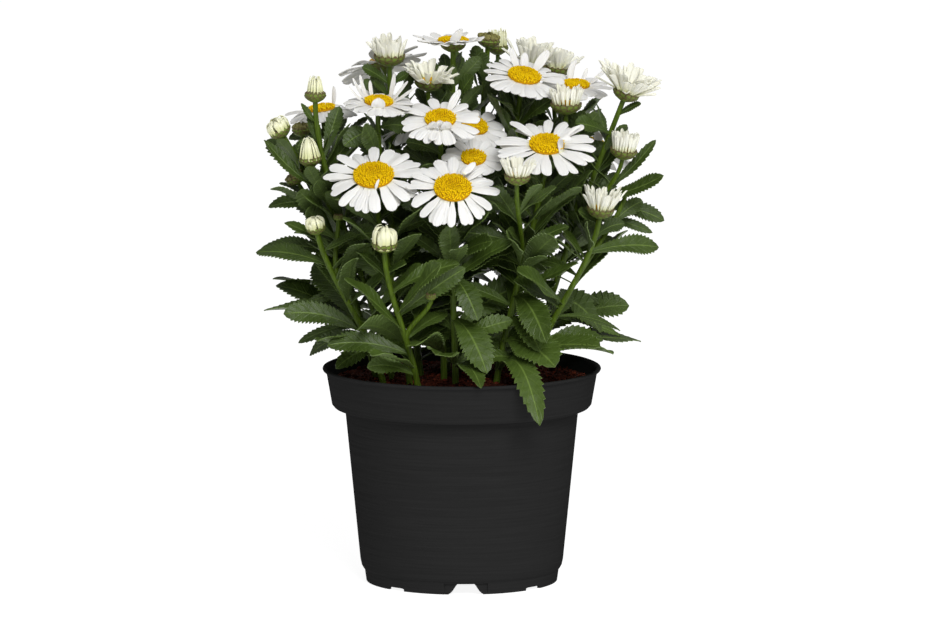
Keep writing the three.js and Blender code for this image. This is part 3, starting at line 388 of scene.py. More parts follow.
def loops_of(faces):
    """Corner numbers in one row, and how many corners each face has."""
    return np.concatenate([np.array(face) for face in faces]), np.array([len(face) for face in faces])


class Pile:
    """Collects the copies that make one piece, with what their materials read."""

    def __init__(self):
        self.points, self.corners, self.sizes = [], [], []
        self.uvs, self.tones, self.uppers, self.slots = [], [], [], []
        self.count = 0

    def add(self, points, faces, slot=0, uv=None, tone=0.5, upper=1.0):
        """Adds copies: points is one copy's points or several copies' points, in millimetres."""
        copies = points.reshape((-1,) + points.shape[-2:])
        number, each = copies.shape[:2]
        corners, sizes = loops_of(faces)
        starts = self.count + each * np.arange(number)
        self.points.append(copies.reshape(-1, 3))
        self.corners.append((corners[None, :] + starts[:, None]).reshape(-1))
        self.sizes.append(np.tile(sizes, number))
        self.uvs.append(np.tile(np.full((each, 2), 0.5) if uv is None else uv, (number, 1)))
        tones = np.broadcast_to(np.asarray(tone, float).reshape(-1, 1), (number, each))
        self.tones.append(tones.reshape(-1))
        self.uppers.append(np.tile(np.broadcast_to(upper, (each,)), number))
        self.slots.append(np.full(number * len(sizes), slot))
        self.count += number * each

    def piece(self, name, materials, sharp=35):
        """The collected copies as one object at the origin, in metres."""
        corners = np.concatenate(self.corners)
        sizes = np.concatenate(self.sizes)
        mesh = bpy.data.meshes.new(name)
        mesh.vertices.add(self.count)
        mesh.vertices.foreach_set("co", (np.concatenate(self.points) * MM).ravel())
        mesh.loops.add(len(corners))
        mesh.loops.foreach_set("vertex_index", corners.astype(np.int32))
        mesh.polygons.add(len(sizes))
        mesh.polygons.foreach_set("loop_start", (np.cumsum(sizes) - sizes).astype(np.int32))
        mesh.update(calc_edges=True)
        mesh.polygons.foreach_set("material_index", np.concatenate(self.slots).astype(np.int32))
        mesh.uv_layers.new(name="Blade").data.foreach_set("uv", np.concatenate(self.uvs)[corners].ravel())
        for attribute, values in (("tone", self.tones), ("upper", self.uppers)):
            layer = mesh.attributes.new(attribute, "FLOAT", "POINT")
            layer.data.foreach_set("value", np.concatenate(values))
        for material in materials:
            mesh.materials.append(material)
        piece = bpy.data.objects.new(name, mesh)
        bpy.context.scene.collection.objects.link(piece)
        smooth_by_angle(piece, sharp)
        return piece


def finish(piece, slot, *nodes):
    """Puts a finished piece in the place of its nodes."""
    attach(piece, "root")
    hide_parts(*nodes)


def unit(vectors):
    """Vectors at length 1."""
    return vectors / np.linalg.norm(vectors, axis=-1, keepdims=True)


def smooth(low, high, values):
    """0 below low, 1 above high, and an even slope between."""
    share = np.clip((values - low) / (high - low), 0, 1)
    return share * share * (3 - 2 * share)


def lay(blade, centre, side, normal, half, rise=0, thickness=0.35, along=None, slide=0):
    """Lays copies of a blade along lines: centre, side, normal and along have a row of vectors for
    each copy, half its half width, and rise and slide move each point off its face or along it."""
    row = blade.row
    points = centre[:, row] + side[:, row] * (half[:, row] * blade.across)[..., None]
    points += normal[:, row] * (rise + blade.face * thickness / 2)[..., None]
    if along is not None:
        points += along[:, row] * slide[..., None]
    return points


# Layout, which repeats the part's own rules

def round_head(angle):
    """Outwards and onwards at each angle round a head."""
    outwards = np.stack([np.cos(angle), np.sin(angle), 0 * angle], axis=-1)
    return outwards, np.stack([-np.sin(angle), np.cos(angle), 0 * angle], axis=-1)


def direction(angle, slope):
    """The direction at an angle round the plant and a slope upwards."""
    return np.array([math.cos(angle) * math.cos(slope), math.sin(angle) * math.cos(slope), math.sin(slope)])


def many(draw, count):
    """A number of draws in a row."""
    return np.array([draw() for _ in range(count)])


def draws_for(seed):
    """The same draws for a seed every time."""
    state = (seed * 2654435761) & 0xFFFFFFFF

    def draw():
        nonlocal state
        state = (state * 1664525 + 1013904223) & 0xFFFFFFFF
        return state / 4294967296

    return draw


def turn_between(face):
    """The shortest turn from upright to a direction, as a matrix."""
    return np.array(Vector((0, 0, 1)).rotation_difference(Vector(face)).to_matrix())


class Head:
    """A bloom, an opening head or a bud."""

    def __init__(self, name, kind, at, face, width, disc=0, height=0, cup=0, rays=0, rise=0, droop=0):
        self.name, self.kind, self.width, self.disc = name, kind, width, disc
        self.height, self.rays, self.rise, self.droop = height, rays, rise, droop
        self.at = np.array(at, float)
        self.face = unit(np.array(face, float))
        self.turn = turn_between(self.face)
        self.cup = {"open": disc * CUP_OF_DISC, "opening": cup, "bud": width / 2}[kind]
        self.depth = self.cup * (BUD_DEPTH if kind == "bud" else CUP_DEPTH) + STALK_END

    def place(self, points):
        """Points of the head's own frame, in which it faces +Z, in the part's frame."""
        return points @ self.turn.T + self.at


class Stalk:
    """The middle line of a stem or stalk, up to the bottom of its cup."""

    def __init__(self, start, heading, head, steps, radius):
        end = head.at - head.face * head.depth
        reach = np.linalg.norm(end - start)
        self.handles = (start, start + heading * reach * STEM_ARMS[0],
                        end - head.face * reach * STEM_ARMS[1], end)
        self.steps, self.head, self.radius = steps, head, radius

    def at(self, share):
        """The point at a share of the line."""
        a, b, c, d = self.handles
        rest = 1 - share
        return a * rest ** 3 + 3 * b * rest ** 2 * share + 3 * c * rest * share ** 2 + d * share ** 3

    def at_height(self, height):
        """Where the solid's faceted middle line reaches a height, and which way it runs there."""
        points = [self.at(step / self.steps) for step in range(self.steps + 1)]
        above = next((i for i, point in enumerate(points) if point[2] >= height), 1)
        above = max(1, above)
        low, high = points[above - 1], points[above]
        share = (height - low[2]) / (high[2] - low[2])
        return low + (high - low) * share, unit(high - low)


def soil_level(radius):
    """Height of the soil at a distance from the middle."""
    return SOIL_CROWN - (SOIL_CROWN - SOIL_EDGE) * (radius / (COLLAR_RADIUS + 2)) ** 2


HEADS = {}
for kind, heads in (("open", OPEN_BLOOMS), ("opening", OPENING_HEADS), ("bud", BUDS)):
    for name, sizes in heads.items():
        HEADS[name] = Head(name, kind, **sizes)


def node_points(node):
    """A node's points, to look up the nearest one."""
    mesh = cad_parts[node].data
    tree = KDTree(len(mesh.vertices))
    for vertex in mesh.vertices:
        tree.insert(vertex.co, vertex.index)
    tree.balance()
    return tree


def distance_to(tree, point):
    """From a point in millimetres to the nearest point of a node, in metres."""
    return tree.find(Vector(point) * MM)[2]


def ray_plan(head, seed):
    """The ring that a head's rays stand on, and each ray's size and posture before it is bent."""
    opened = head.kind == "open"
    habit = RAY_HABITS[head.kind]
    ring = head.disc / 2 + DISC_GAP if opened else head.cup * CORE_OF_CUP
    reach = head.width / 2 - ring
    length = reach if opened else math.hypot(reach, head.height)
    upright = 0 if opened else math.degrees(math.atan2(head.height, reach))
    draw = draws_for(seed)
    rays = []
    for i in range(head.rays):
        outer = i % 2 == 0
        angle = (i + (draw() - 0.5) * RAY_TURN) * 2 * math.pi / head.rays
        posture = habit["rise"] + head.rise - head.droop * max(0, -math.sin(angle))
        rays.append(dict(
            angle=angle,
            length=length * (1 - RAY_SHORTFALL * draw()) * (1 if outer else habit["inner_length"]),
            rise=posture + upright + (draw() - 0.5) * habit["rise_spread"]
            + (1 if outer else -1) * habit["layer_rise"],
            bend=habit["bend"] + draw() * habit["bend_spread"],
            twist=(draw() - 0.5) * RAY_TWIST,
        ))
    return ring, rays


def ray_tip(head, ring, ray, lift, scale):
    """Where the tip of a ray of the solid is in a posture."""
    rise = math.radians(ray["rise"] + lift)
    fall = math.radians(ray["rise"] + lift - ray["bend"])
    length = ray["length"] * scale
    out = ring + length * (RAY_BEND_AT * math.cos(rise) + (1 - RAY_BEND_AT) * math.cos(fall))
    up = RAY_LEVEL + length * (RAY_BEND_AT * math.sin(rise) + (1 - RAY_BEND_AT) * math.sin(fall))
    return head.place(np.array([out * math.cos(ray["angle"]), out * math.sin(ray["angle"]), up]))


def rays_as_placed(head, seed, node):
    """A head's ring and its rays, each in the posture that it has in the solid."""
    tree = node_points(node)
    ring, rays = ray_plan(head, seed)
    for ray in rays:
        postures = [(scale, lift) for scale in RAY_SCALES for lift in RAY_LIFTS]
        scale, lift = min(postures, key=lambda p: distance_to(tree, ray_tip(head, ring, ray, p[1], p[0])))
        ray["rise"] += lift
        ray["length"] *= scale
        out = ring + ray["length"] * RAY_BEND_AT * max(math.cos(math.radians(ray["rise"])), 0)
        wedge = out * math.tan(math.pi / head.rays) * RAY_WEDGE_SHARE
        ray["half"] = min(wedge, RAY_HALF_WIDTH)
    return ring, rays


def roll_towards(root, tip, side):
    """How far a leaf rolls about its rib so that its upper face leans towards a side."""
    across = unit(np.array([root[1] - tip[1], tip[0] - root[0], 0]))
    return -LEAF_LEAN * across @ side


def bent_leaf(leaf, turn, lift, scale):
    """A leaf turned about the upright line through its root, its tip raised, its size changed."""
    chord = (leaf["tip"] - leaf["root"]) * scale
    cos, sin = math.cos(math.radians(turn)), math.sin(math.radians(turn))
    chord = np.array([chord[0] * cos - chord[1] * sin, chord[0] * sin + chord[1] * cos, chord[2]])
    chord[2] += np.linalg.norm(chord) * lift
    return {**leaf, "tip": leaf["root"] + chord, "width": leaf["width"] * (0.4 + 0.6 * scale),
            "arch": leaf["arch"] * scale}


LEAF_POSTURES = sorted(
    ((turn, lift, scale) for scale in LEAF_SCALES for turn in LEAF_TURNS for lift in LEAF_LIFTS),
    key=lambda p: abs(p[0]) / 18 + abs(p[1]) / 0.16 + (1 - p[2]) * 7)


def leaf_as_placed(leaf, tree):
    """A leaf in the posture that it has in the solid, or None where the solid has no such leaf."""
    for posture in LEAF_POSTURES:
        bent = bent_leaf(leaf, *posture)
        if distance_to(tree, bent["tip"]) < SAME_POINT:
            return bent
    return None


def grow_stems():
    """Every stem with its stalks, by the name of the head at its end, and the stem's node."""
    stalks, nodes = {}, []
    for number, (foot, top, side_stalks) in enumerate(STEMS):
        head = HEADS[top]
        start = np.array([*foot, soil_level(math.hypot(*foot)) - STEM_DEPTH])
        lean = (head.at[:2] - np.array(foot)) * STEM_LEAN
        main = Stalk(start, unit(np.array([*lean, STEM_RISE])), head, STEM_STEPS, STEM_RADIUS)
        stalks[top] = main
        for name, height in side_stalks.items():
            at, heading = main.at_height(height)
            stalks[name] = Stalk(at, heading, HEADS[name], STALK_STEPS, STALK_RADIUS)
        nodes.append((f"leafy_stem_{number + 1:02d}", [top, *side_stalks]))
    return stalks, nodes


STALKS, STEM_NODES = grow_stems()
NODE_OF = {name: node for node, names in STEM_NODES for name in names}
TO_THE_FRONT = np.array([0, -1, 0])


def listed_leaf(row, draw):
    """A leaf of one of the two lists."""
    on, height, tip, width, arch = row
    root = STALKS[on].at_height(height)[0]
    tip = np.array(tip, float)
    roll = roll_towards(root, tip, TO_THE_FRONT) + (draw() - 0.5) * LARGE_LEAF_ROLL
    return dict(on=on, root=root, tip=tip, width=width, arch=arch, roll=roll)


def solid_leaves():
    """The leaves of the solids, by node, each with the head whose stem it grows on."""
    trees = {node: node_points(node) for node, _ in STEM_NODES}
    leaves = {node: [] for node in trees}
    for number, row in enumerate(LARGE_LEAVES):
        draw = draws_for(500 + number)
        leaf = listed_leaf(row, draw)
        leaf["width"] *= LARGE_LEAF_BREADTH
        leaf["phase"] = draw() * 2 * math.pi
        node = NODE_OF[leaf["on"]]
        leaves[node].append(leaf_as_placed(leaf, trees[node]))
    for number, (node, names) in enumerate(STEM_NODES):
        draw = draws_for(900 + number)
        foot = STEMS[number][0]
        outwards = unit(np.array([*foot, 0.0]))
        top = HEADS[names[0]].at[2] - BARE_NECK
        for i in range(LEAVES_ON_A_STEM):
            up = (i + draw() * 0.7) / LEAVES_ON_A_STEM
            root = STALKS[names[0]].at_height(LEAVES_FROM + (top - LEAVES_FROM) * up)[0]
            turn = i * GOLDEN_TURN + (draw() - 0.5) * LEAF_TURN_SPREAD
            angle = math.atan2(foot[1], foot[0]) + math.radians(turn)
            length = np.interp(up, (0, 1), LEAF_LENGTHS) + draw() * LEAF_LENGTH_SPREAD
            slope = math.radians(np.interp(up, (0, 1), LEAF_SLOPES) + draw() * LEAF_SLOPE_SPREAD)
            tip = root + direction(angle, slope) * length
            width = length * (LEAF_BREADTH + LEAF_BREADTH_SPREAD * draw())
            arch = LEAF_ARCH * (1 + draw()) * (1 - up)
            roll = roll_towards(root, tip, outwards) + (draw() - 0.5) * LEAF_ROLL
            leaf = dict(on=names[0], root=root, tip=tip, width=width, arch=arch, roll=roll,
                        phase=draw() * 2 * math.pi)
            leaves[node].append(leaf_as_placed(leaf, trees[node]))
    return {node: [leaf for leaf in row if leaf] for node, row in leaves.items()}


# Materials

def new_material(name):
    """An empty material: its tree, its shader and its output."""
    material = bpy.data.materials.new(name)
    material.use_nodes = True
    tree = material.node_tree
    tree.nodes.clear()
    output = tree.nodes.new("ShaderNodeOutputMaterial")
    shader = tree.nodes.new("ShaderNodeBsdfPrincipled")
    tree.links.new(shader.outputs[0], output.inputs[0])
    return material, tree, shader


def set_inputs(tree, node, values):
    """Links or sets a node's inputs, by number or by name."""
    for key, value in values.items():
        if isinstance(value, bpy.types.NodeSocket):
            tree.links.new(value, node.inputs[key])
        else:
            node.inputs[key].default_value = value


def add_node(tree, kind, inputs=None, **settings):
    """Adds a node with its settings and inputs; gives the node's first output."""
    node = tree.nodes.new(kind)
    for name, value in settings.items():
        setattr(node, name, value)
    set_inputs(tree, node, inputs or {})
    return node.outputs[0]


def maths(tree, operation, *values, **settings):
    """A Math node on one to three values."""
    return add_node(tree, "ShaderNodeMath", dict(enumerate(values)), operation=operation, **settings)


def ranged(tree, value, low, high, start=0.0, end=1.0):
    """A value carried from one range to another, and held at the ends."""
    return add_node(tree, "ShaderNodeMapRange", {0: value, 1: low, 2: high, 3: start, 4: end})


def cloud(tree, place, scale, detail, rough=0.5):
    """Noise, with the scale in turns a metre."""
    return add_node(tree, "ShaderNodeTexNoise", {0: place, 2: scale, 3: detail, 4: rough})


def stretch(tree, place, scale):
    """A place, with each of its axes stretched by a scale."""
    return add_node(tree, "ShaderNodeMapping", {0: place, 3: scale})


def blend(tree, share, first, second):
    """A mix of two colours, each linear values or another node's colour."""
    first, second = (colour if isinstance(colour, bpy.types.NodeSocket) else (*colour, 1)
                     for colour in (first, second))
    mix = add_node(tree, "ShaderNodeMix", {0: share, 6: first, 7: second}, data_type="RGBA")
    return mix.node.outputs[2]


def bump(tree, strength, distance, height):
    """A surface raised by a height."""
    return add_node(tree, "ShaderNodeBump", {0: strength, 1: distance, 3: height})


def object_place(tree):
    """A point's place in metres."""
    return add_node(tree, "ShaderNodeTexCoord").node.outputs["Object"]


def blade_coordinates(tree):
    """Across and along of a blade's own map, and how far a point is from its rib, 0 to 1."""
    uv = add_node(tree, "ShaderNodeUVMap", uv_map="Blade")
    parts = add_node(tree, "ShaderNodeSeparateXYZ", {0: uv}).node
    across, along = parts.outputs[0], parts.outputs[1]
    size = maths(tree, "ABSOLUTE", maths(tree, "SUBTRACT", across, 0.5))
    return across, along, maths(tree, "MULTIPLY", size, 2.0)


def attribute(tree, name):
    """A number that the mesh carries at each point."""
    return add_node(tree, "ShaderNodeAttribute", attribute_name=name).node.outputs["Fac"]


def times(colour, factor):
    """A colour made lighter or darker."""
    return tuple(min(1, value * factor) for value in colour)


def moulded_polypropylene(settings):
    """Injection moulded black polypropylene: an even dull black that hides the wall's form, with
    faint lines round it from the turned tool."""
    material, tree, shader = new_material("Moulded polypropylene")
    place = object_place(tree)
    # tool marks about 1.2 mm apart, stretched round the wall
    marks = cloud(tree, stretch(tree, place, (18, 18, 820)), 1.0, 3.0, 0.6)
    # a fine dull grain of about half a millimetre, coarser than the real one so that it shows
    grain = cloud(tree, place, 1900.0, 2.0)
    clouds = cloud(tree, place, 26.0, 3.0)
    streaks = ranged(tree, marks, 0.3, 0.7)
    set_inputs(tree, shader, {
        "Base Color": blend(tree, streaks, times(settings.colour, 0.9), times(settings.colour, 1.12)),
        "Roughness": ranged(tree, clouds, 0.3, 0.7, 0.34, 0.46),
        "Normal": bump(tree, 0.35, 0.0004, maths(tree, "MULTIPLY_ADD", grain, 0.35, marks)),
        "IOR": 1.49,
        "Specular IOR Level": 0.0,
    })
    return material


def damp_peat(settings):
    """Damp milled peat with bark: dark red brown and quite rough, with paler fibres and chips."""
    material, tree, shader = new_material("Damp peat")
    place = object_place(tree)
    # crumbs of 2 mm and fibres of half a millimetre
    crumbs = cloud(tree, place, 420.0, 5.0, 0.7)
    fibres = cloud(tree, place, 1500.0, 3.0, 0.7)
    share = maths(tree, "MULTIPLY", ranged(tree, crumbs, 0.35, 0.68, 0.0, 0.75), attribute(tree, "tone"))
    set_inputs(tree, shader, {
        "Base Color": blend(tree, share, times(settings.colour, 0.22), times(settings.colour, 4.5)),
        "Normal": bump(tree, 1.0, 0.002, maths(tree, "MULTIPLY_ADD", fibres, 0.5, crumbs)),
        "Roughness": 0.9,
        "Specular IOR Level": 0.1,
    })
    return material


def ray_petal(name, colour, base, base_end):
    """A living petal: soft matt white that light soaks into, with fine lengthwise ribs whose lines are
    painted a little darker as painted shade, and a tinge at its base from the green beneath."""
    material, tree, shader = new_material(name)
    across, along, _ = blade_coordinates(tree)
    own = add_node(tree, "ShaderNodeCombineXYZ", {0: across, 1: along, 2: attribute(tree, "tone")})
    ribs = cloud(tree, stretch(tree, own, (14, 0.7, 9)), 1.0, 2.0)
    tint = maths(tree, "MULTIPLY", ranged(tree, along, 0.0, base_end, 1.0, 0.0), 0.85)
    tinted = blend(tree, tint, colour, base)
    set_inputs(tree, shader, {
        # painted shade: the lengthwise rib lines are darkened a little in the colour
        "Base Color": blend(tree, ranged(tree, ribs, 0.4, 0.65, 0.0, 0.38), tinted, times(colour, 0.9)),
        "Normal": bump(tree, 0.4, 0.0005, ribs),
        "Roughness": 0.58,
        "Specular IOR Level": 0.3,
        "Subsurface Weight": 0.35,
        "Subsurface Radius": (1.0, 0.95, 0.8),
        "Subsurface Scale": 0.0015,
    })
    return material


def pollen_floret(colour):
    """Disc florets dusted with pollen: dense matt yellow, deep ochre on some florets, and the same ochre on
    the lid between them as painted shade in the gaps.
    """
    material, tree, shader = new_material("Pollen floret")
    dust = cloud(tree, object_place(tree), 1400.0, 2.0)
    share = maths(tree, "MULTIPLY_ADD", dust, 0.35, attribute(tree, "tone"))
    set_inputs(tree, shader, {
        # a low tone gives deep ochre: the tone varies at random on the florets, and the lid's tone of 0 is
        # painted shade between them
        "Base Color": blend(tree, ranged(tree, share, 0.25, 1.05), linear("#b48405"), colour),
        "Roughness": 0.75,
        "Specular IOR Level": 0.1,
    })
    return material


def leaf_blade(settings):
    """A grown leaf blade: matt green with a thin waxy film, a pale midrib, veins pressed in from above, a
    painted rim highlight along its margin, and a greyer underside."""
    material, tree, shader = new_material("Leaf blade")
    _, along, off_rib = blade_coordinates(tree)
    place = object_place(tree)
    # cloudy patches of about 8 mm and a skin grain of about 1 mm
    patches = cloud(tree, place, 120.0, 3.0)
    skin = cloud(tree, place, 1100.0, 3.0, 0.6)
    # ten veins to a side, which run forwards from the rib
    slant = maths(tree, "MULTIPLY_ADD", off_rib, -0.16, along)
    part = maths(tree, "FRACT", maths(tree, "MULTIPLY", slant, 10.0))
    away = maths(tree, "ABSOLUTE", maths(tree, "SUBTRACT", part, 0.5))
    veins = ranged(tree, away, 0.03, 0.14, 1.0, 0.0)
    rib = ranged(tree, off_rib, 0.02, 0.1, 1.0, 0.0)
    # painted rim highlight: the outermost edge of the blade is lightened towards the pale rib green
    margin = ranged(tree, off_rib, 0.96, 1.0, 0.0, 0.22)
    youth = ranged(tree, maths(tree, "MULTIPLY_ADD", patches, 0.5, attribute(tree, "tone")), 0.25, 1.3)
    green = blend(tree, youth, settings.leaf, settings.young_leaf)
    lines = maths(tree, "MAXIMUM", maths(tree, "MULTIPLY", veins, 0.07), maths(tree, "MULTIPLY", rib, 0.36))
    # the pale green of the rib and veins, and also of the painted rim highlight on the margin
    veined = blend(tree, maths(tree, "MAXIMUM", lines, margin), green, linear("#86a04c"))
    below = ranged(tree, attribute(tree, "upper"), 0.0, 1.0, 0.45, 0.0)
    pressed = maths(tree, "MAXIMUM", veins, rib)
    set_inputs(tree, shader, {
        "Base Color": blend(tree, below, veined, linear("#56663a")),
        "Normal": bump(tree, 0.45, 0.0006, maths(tree, "MULTIPLY_ADD", pressed, -0.8, skin)),
        "Roughness": ranged(tree, skin, 0.3, 0.7, 0.36, 0.52),
        "Specular IOR Level": 0.35,
    })
    return material


def stem_skin(settings):
    """The skin of a grown stem: smooth yellowish green, with darker flecks drawn out along it."""
    material, tree, shader = new_material("Stem skin")
    flecks = cloud(tree, stretch(tree, object_place(tree), (900, 900, 60)), 1.0, 3.0)
    share = ranged(tree, flecks, 0.35, 0.65)
    set_inputs(tree, shader, {
        "Base Color": blend(tree, share, times(settings.stem, 0.55), settings.stem),
        "Normal": bump(tree, 0.3, 0.0004, flecks),
        "Roughness": 0.5,
        "Specular IOR Level": 0.2,
    })
    return material


def cup_bract():
    """The bracts of a flower cup: green scales with thin papery margins, purple brown."""
    material, tree, shader = new_material("Cup bract")
    _, along, off_rib = blade_coordinates(tree)
    grain = cloud(tree, object_place(tree), 900.0, 2.0)
    side = ranged(tree, off_rib, 0.5, 0.85, 0.0, 0.85)
    end = ranged(tree, along, 0.6, 0.86, 0.0, 0.95)
    thick = ranged(tree, grain, 0.3, 0.7, 0.5, 1.1)
    brown = maths(tree, "MULTIPLY", maths(tree, "MAXIMUM", side, end), thick, use_clamp=True)
    set_inputs(tree, shader, {
        "Base Color": blend(tree, brown, linear("#64792c"), linear("#5c3f38")),
        "Roughness": 0.6,
        "Specular IOR Level": 0.2,
    })
    return material


# Pot and soil

def turn_profile(name, profile, segments):
    """A closed body of revolution, drawn out ring by ring from a disc: the profile's first and
    last points are the edges of its two end faces."""
    deselect()
    (radius, height), *others = profile
    bpy.ops.mesh.primitive_circle_add(
        vertices=segments, radius=radius * MM, fill_type="NGON", location=(0, 0, height * MM))
    body = bpy.context.object
    body.name = name
    bpy.ops.object.transform_apply(location=True, rotation=False, scale=False)
    bpy.ops.object.mode_set(mode="EDIT")
    bpy.ops.mesh.select_all(action="SELECT")
    for next_radius, next_height in others:
        bpy.ops.mesh.extrude_region_move(
            TRANSFORM_OT_translate={"value": (0, 0, (next_height - height) * MM)})
        scale = next_radius / radius
        bpy.ops.transform.resize(value=(scale, scale, 1), center_override=(0, 0, 0))
        radius, height = next_radius, next_height
    close_outwards()
    return body


# Outlines of the arched notches and of the slots in the foot ring: across and up
NOTCH = ((-12.4, -2), (-11.8, 0.2), (-10.6, 0.9), (-9.2, 2.3), (-8.1, 3.9), (-7, 5.7), (-5.8, 7.2),
         (5.8, 7.2), (7, 5.7), (8.1, 3.9), (9.2, 2.3), (10.6, 0.9), (11.8, 0.2), (12.4, -2))
SLOT = ((-7, -2), (-7, 1.6), (-5, 2), (5, 2), (7, 1.6), (7, -2))
SLOT_TURN = 45.75
RECESS_HALF = 14.8
RECESS_HEIGHT = 7.6
RECESS_DEPTH = 0.35
DRAINS = 4
DRAIN_RADIUS = 4
DRAIN_RING = 42


def foot_cutter(outline, degrees):
    """A block with an outline that points outwards through the foot ring."""
    deselect()
    bpy.ops.mesh.primitive_circle_add(vertices=len(outline), fill_type="NGON")
    block = bpy.context.object
    for vertex, (across, up) in zip(block.data.vertices, outline):
        vertex.co = Vector((FOOT_RADIUS - 9, across, up)) * MM
    bpy.ops.object.mode_set(mode="EDIT")
    bpy.ops.mesh.select_all(action="SELECT")
    bpy.ops.mesh.extrude_region_move(TRANSFORM_OT_translate={"value": (17 * MM, 0, 0)})
    close_outwards()
    block.data.transform(Matrix.Rotation(math.radians(degrees), 4, "Z"))
    return block


def recess_cutter(degrees):
    """A curved block that takes a shallow panel off the outside of the foot ring."""
    radius = FOOT_RADIUS - RECESS_DEPTH
    deselect()
    bpy.ops.mesh.primitive_grid_add(x_subdivisions=12, y_subdivisions=1, size=2)
    block = bpy.context.object
    for vertex in block.data.vertices:
        angle = vertex.co.x * RECESS_HALF / radius
        up = RECESS_HEIGHT if vertex.co.y > 0 else -2
        vertex.co = Vector((radius * math.cos(angle), radius * math.sin(angle), up)) * MM
    bpy.ops.object.mode_set(mode="EDIT")
    bpy.ops.mesh.select_all(action="SELECT")
    bpy.ops.mesh.extrude_region_move(TRANSFORM_OT_translate={"value": (0, 0, 0)})
    bpy.ops.transform.resize(value=(1.1, 1.1, 1), center_override=(0, 0, 0))
    close_outwards()
    block.data.transform(Matrix.Rotation(math.radians(degrees), 4, "Z"))
    return block


def cut(body, cutter):
    """Cuts one body out of another."""
    apply_modifier(body, "BOOLEAN", operation="DIFFERENCE", object=cutter, solver="EXACT")
    mesh = cutter.data
    bpy.data.objects.remove(cutter)
    bpy.data.meshes.remove(mesh)


class DAISY_OT_pot(Operator):
    """Model the nursery pot: foot ring, tapered wall, collar and rolled lip"""

    bl_idname = "daisy.pot"
    bl_label = "Pot"

    def execute(self, context):
        settings = context.scene.daisy_pot
        top = POT_HEIGHT
        profile = [
            (FOOT_RADIUS - WALL - 0.6, FLOOR_UNDERSIDE),
            (FOOT_RADIUS - WALL - 1, 0),
            (FOOT_RADIUS, 0),
            (FOOT_RADIUS + 1.2, FOOT_TOP - 0.6),
            (WALL_FOOT_RADIUS - 0.9, FOOT_TOP),
            (WALL_FOOT_RADIUS + 0.2, FOOT_TOP + 2),
            (WALL_FOOT_RADIUS + 1.1, FOOT_TOP + 6),
            (SHOULDER_RADIUS, SHOULDER_HEIGHT - 0.6),
            (SHOULDER_RADIUS + 0.8, SHOULDER_HEIGHT),
            (COLLAR_RADIUS - 1.6, SHOULDER_HEIGHT + 0.3),
            (COLLAR_RADIUS, SHOULDER_HEIGHT + 2.2),
            (RIM_RADIUS - 2.5, top - 2.8),
            (RIM_RADIUS - 1.5, top - 2.6),
            (RIM_RADIUS - 0.4, top - 2.0),
            (RIM_RADIUS, top - 1.2),
            (RIM_RADIUS - 0.3, top - 0.4),
            (RIM_RADIUS - 1.2, top),
            (RIM_RADIUS - 2.3, top - 0.1),
            (RIM_RADIUS - 3.1, top - 0.7),
            (RIM_RADIUS - 3.8, top - 2.4),
            (COLLAR_RADIUS - WALL / 2, SHOULDER_HEIGHT + WALL + 1),
            (COLLAR_RADIUS - 2.4, SHOULDER_HEIGHT + WALL),
            (SHOULDER_RADIUS - WALL, SHOULDER_HEIGHT + WALL),
            (WALL_FOOT_RADIUS - WALL - 0.4, FLOOR_UNDERSIDE + WALL),
        ]
        pot = turn_profile("nursery_pot", profile, settings.segments)
        for front in (-90 + NOTCH_TURN, 90 + NOTCH_TURN):
            cut(pot, recess_cutter(front))
            cut(pot, foot_cutter(NOTCH, front))
            for beside in (-SLOT_TURN, SLOT_TURN):
                cut(pot, foot_cutter(SLOT, front + beside))
        for number in range(DRAINS):
            deselect()
            angle = number * 2 * math.pi / DRAINS
            x, y = DRAIN_RING * MM * math.cos(angle), DRAIN_RING * MM * math.sin(angle)
            bpy.ops.mesh.primitive_cylinder_add(
                vertices=24, radius=DRAIN_RADIUS * MM, depth=6 * MM, location=(x, y, FLOOR_UNDERSIDE * MM))
            drill = bpy.context.object
            bpy.ops.object.transform_apply(location=True, rotation=False, scale=False)
            cut(pot, drill)
        apply_modifier(pot, "BEVEL", width=settings.edge, segments=2, limit_method="ANGLE",
                       angle_limit=math.radians(40), use_clamp_overlap=True)
        smooth_by_angle(pot, 40)
        pot.data.materials.append(moulded_polypropylene(settings))
        finish(pot, "moulded_pot", "pot")
        return {"FINISHED"}


def soil_height(x, y):
    """Height of the peat's lumpy surface."""
    lumps = noise.noise(Vector((x, y, 0)) * 0.09) * 2.2 + noise.noise(Vector((x, y, 7)) * 0.35) * 0.9
    return soil_level(math.hypot(x, y)) + lumps


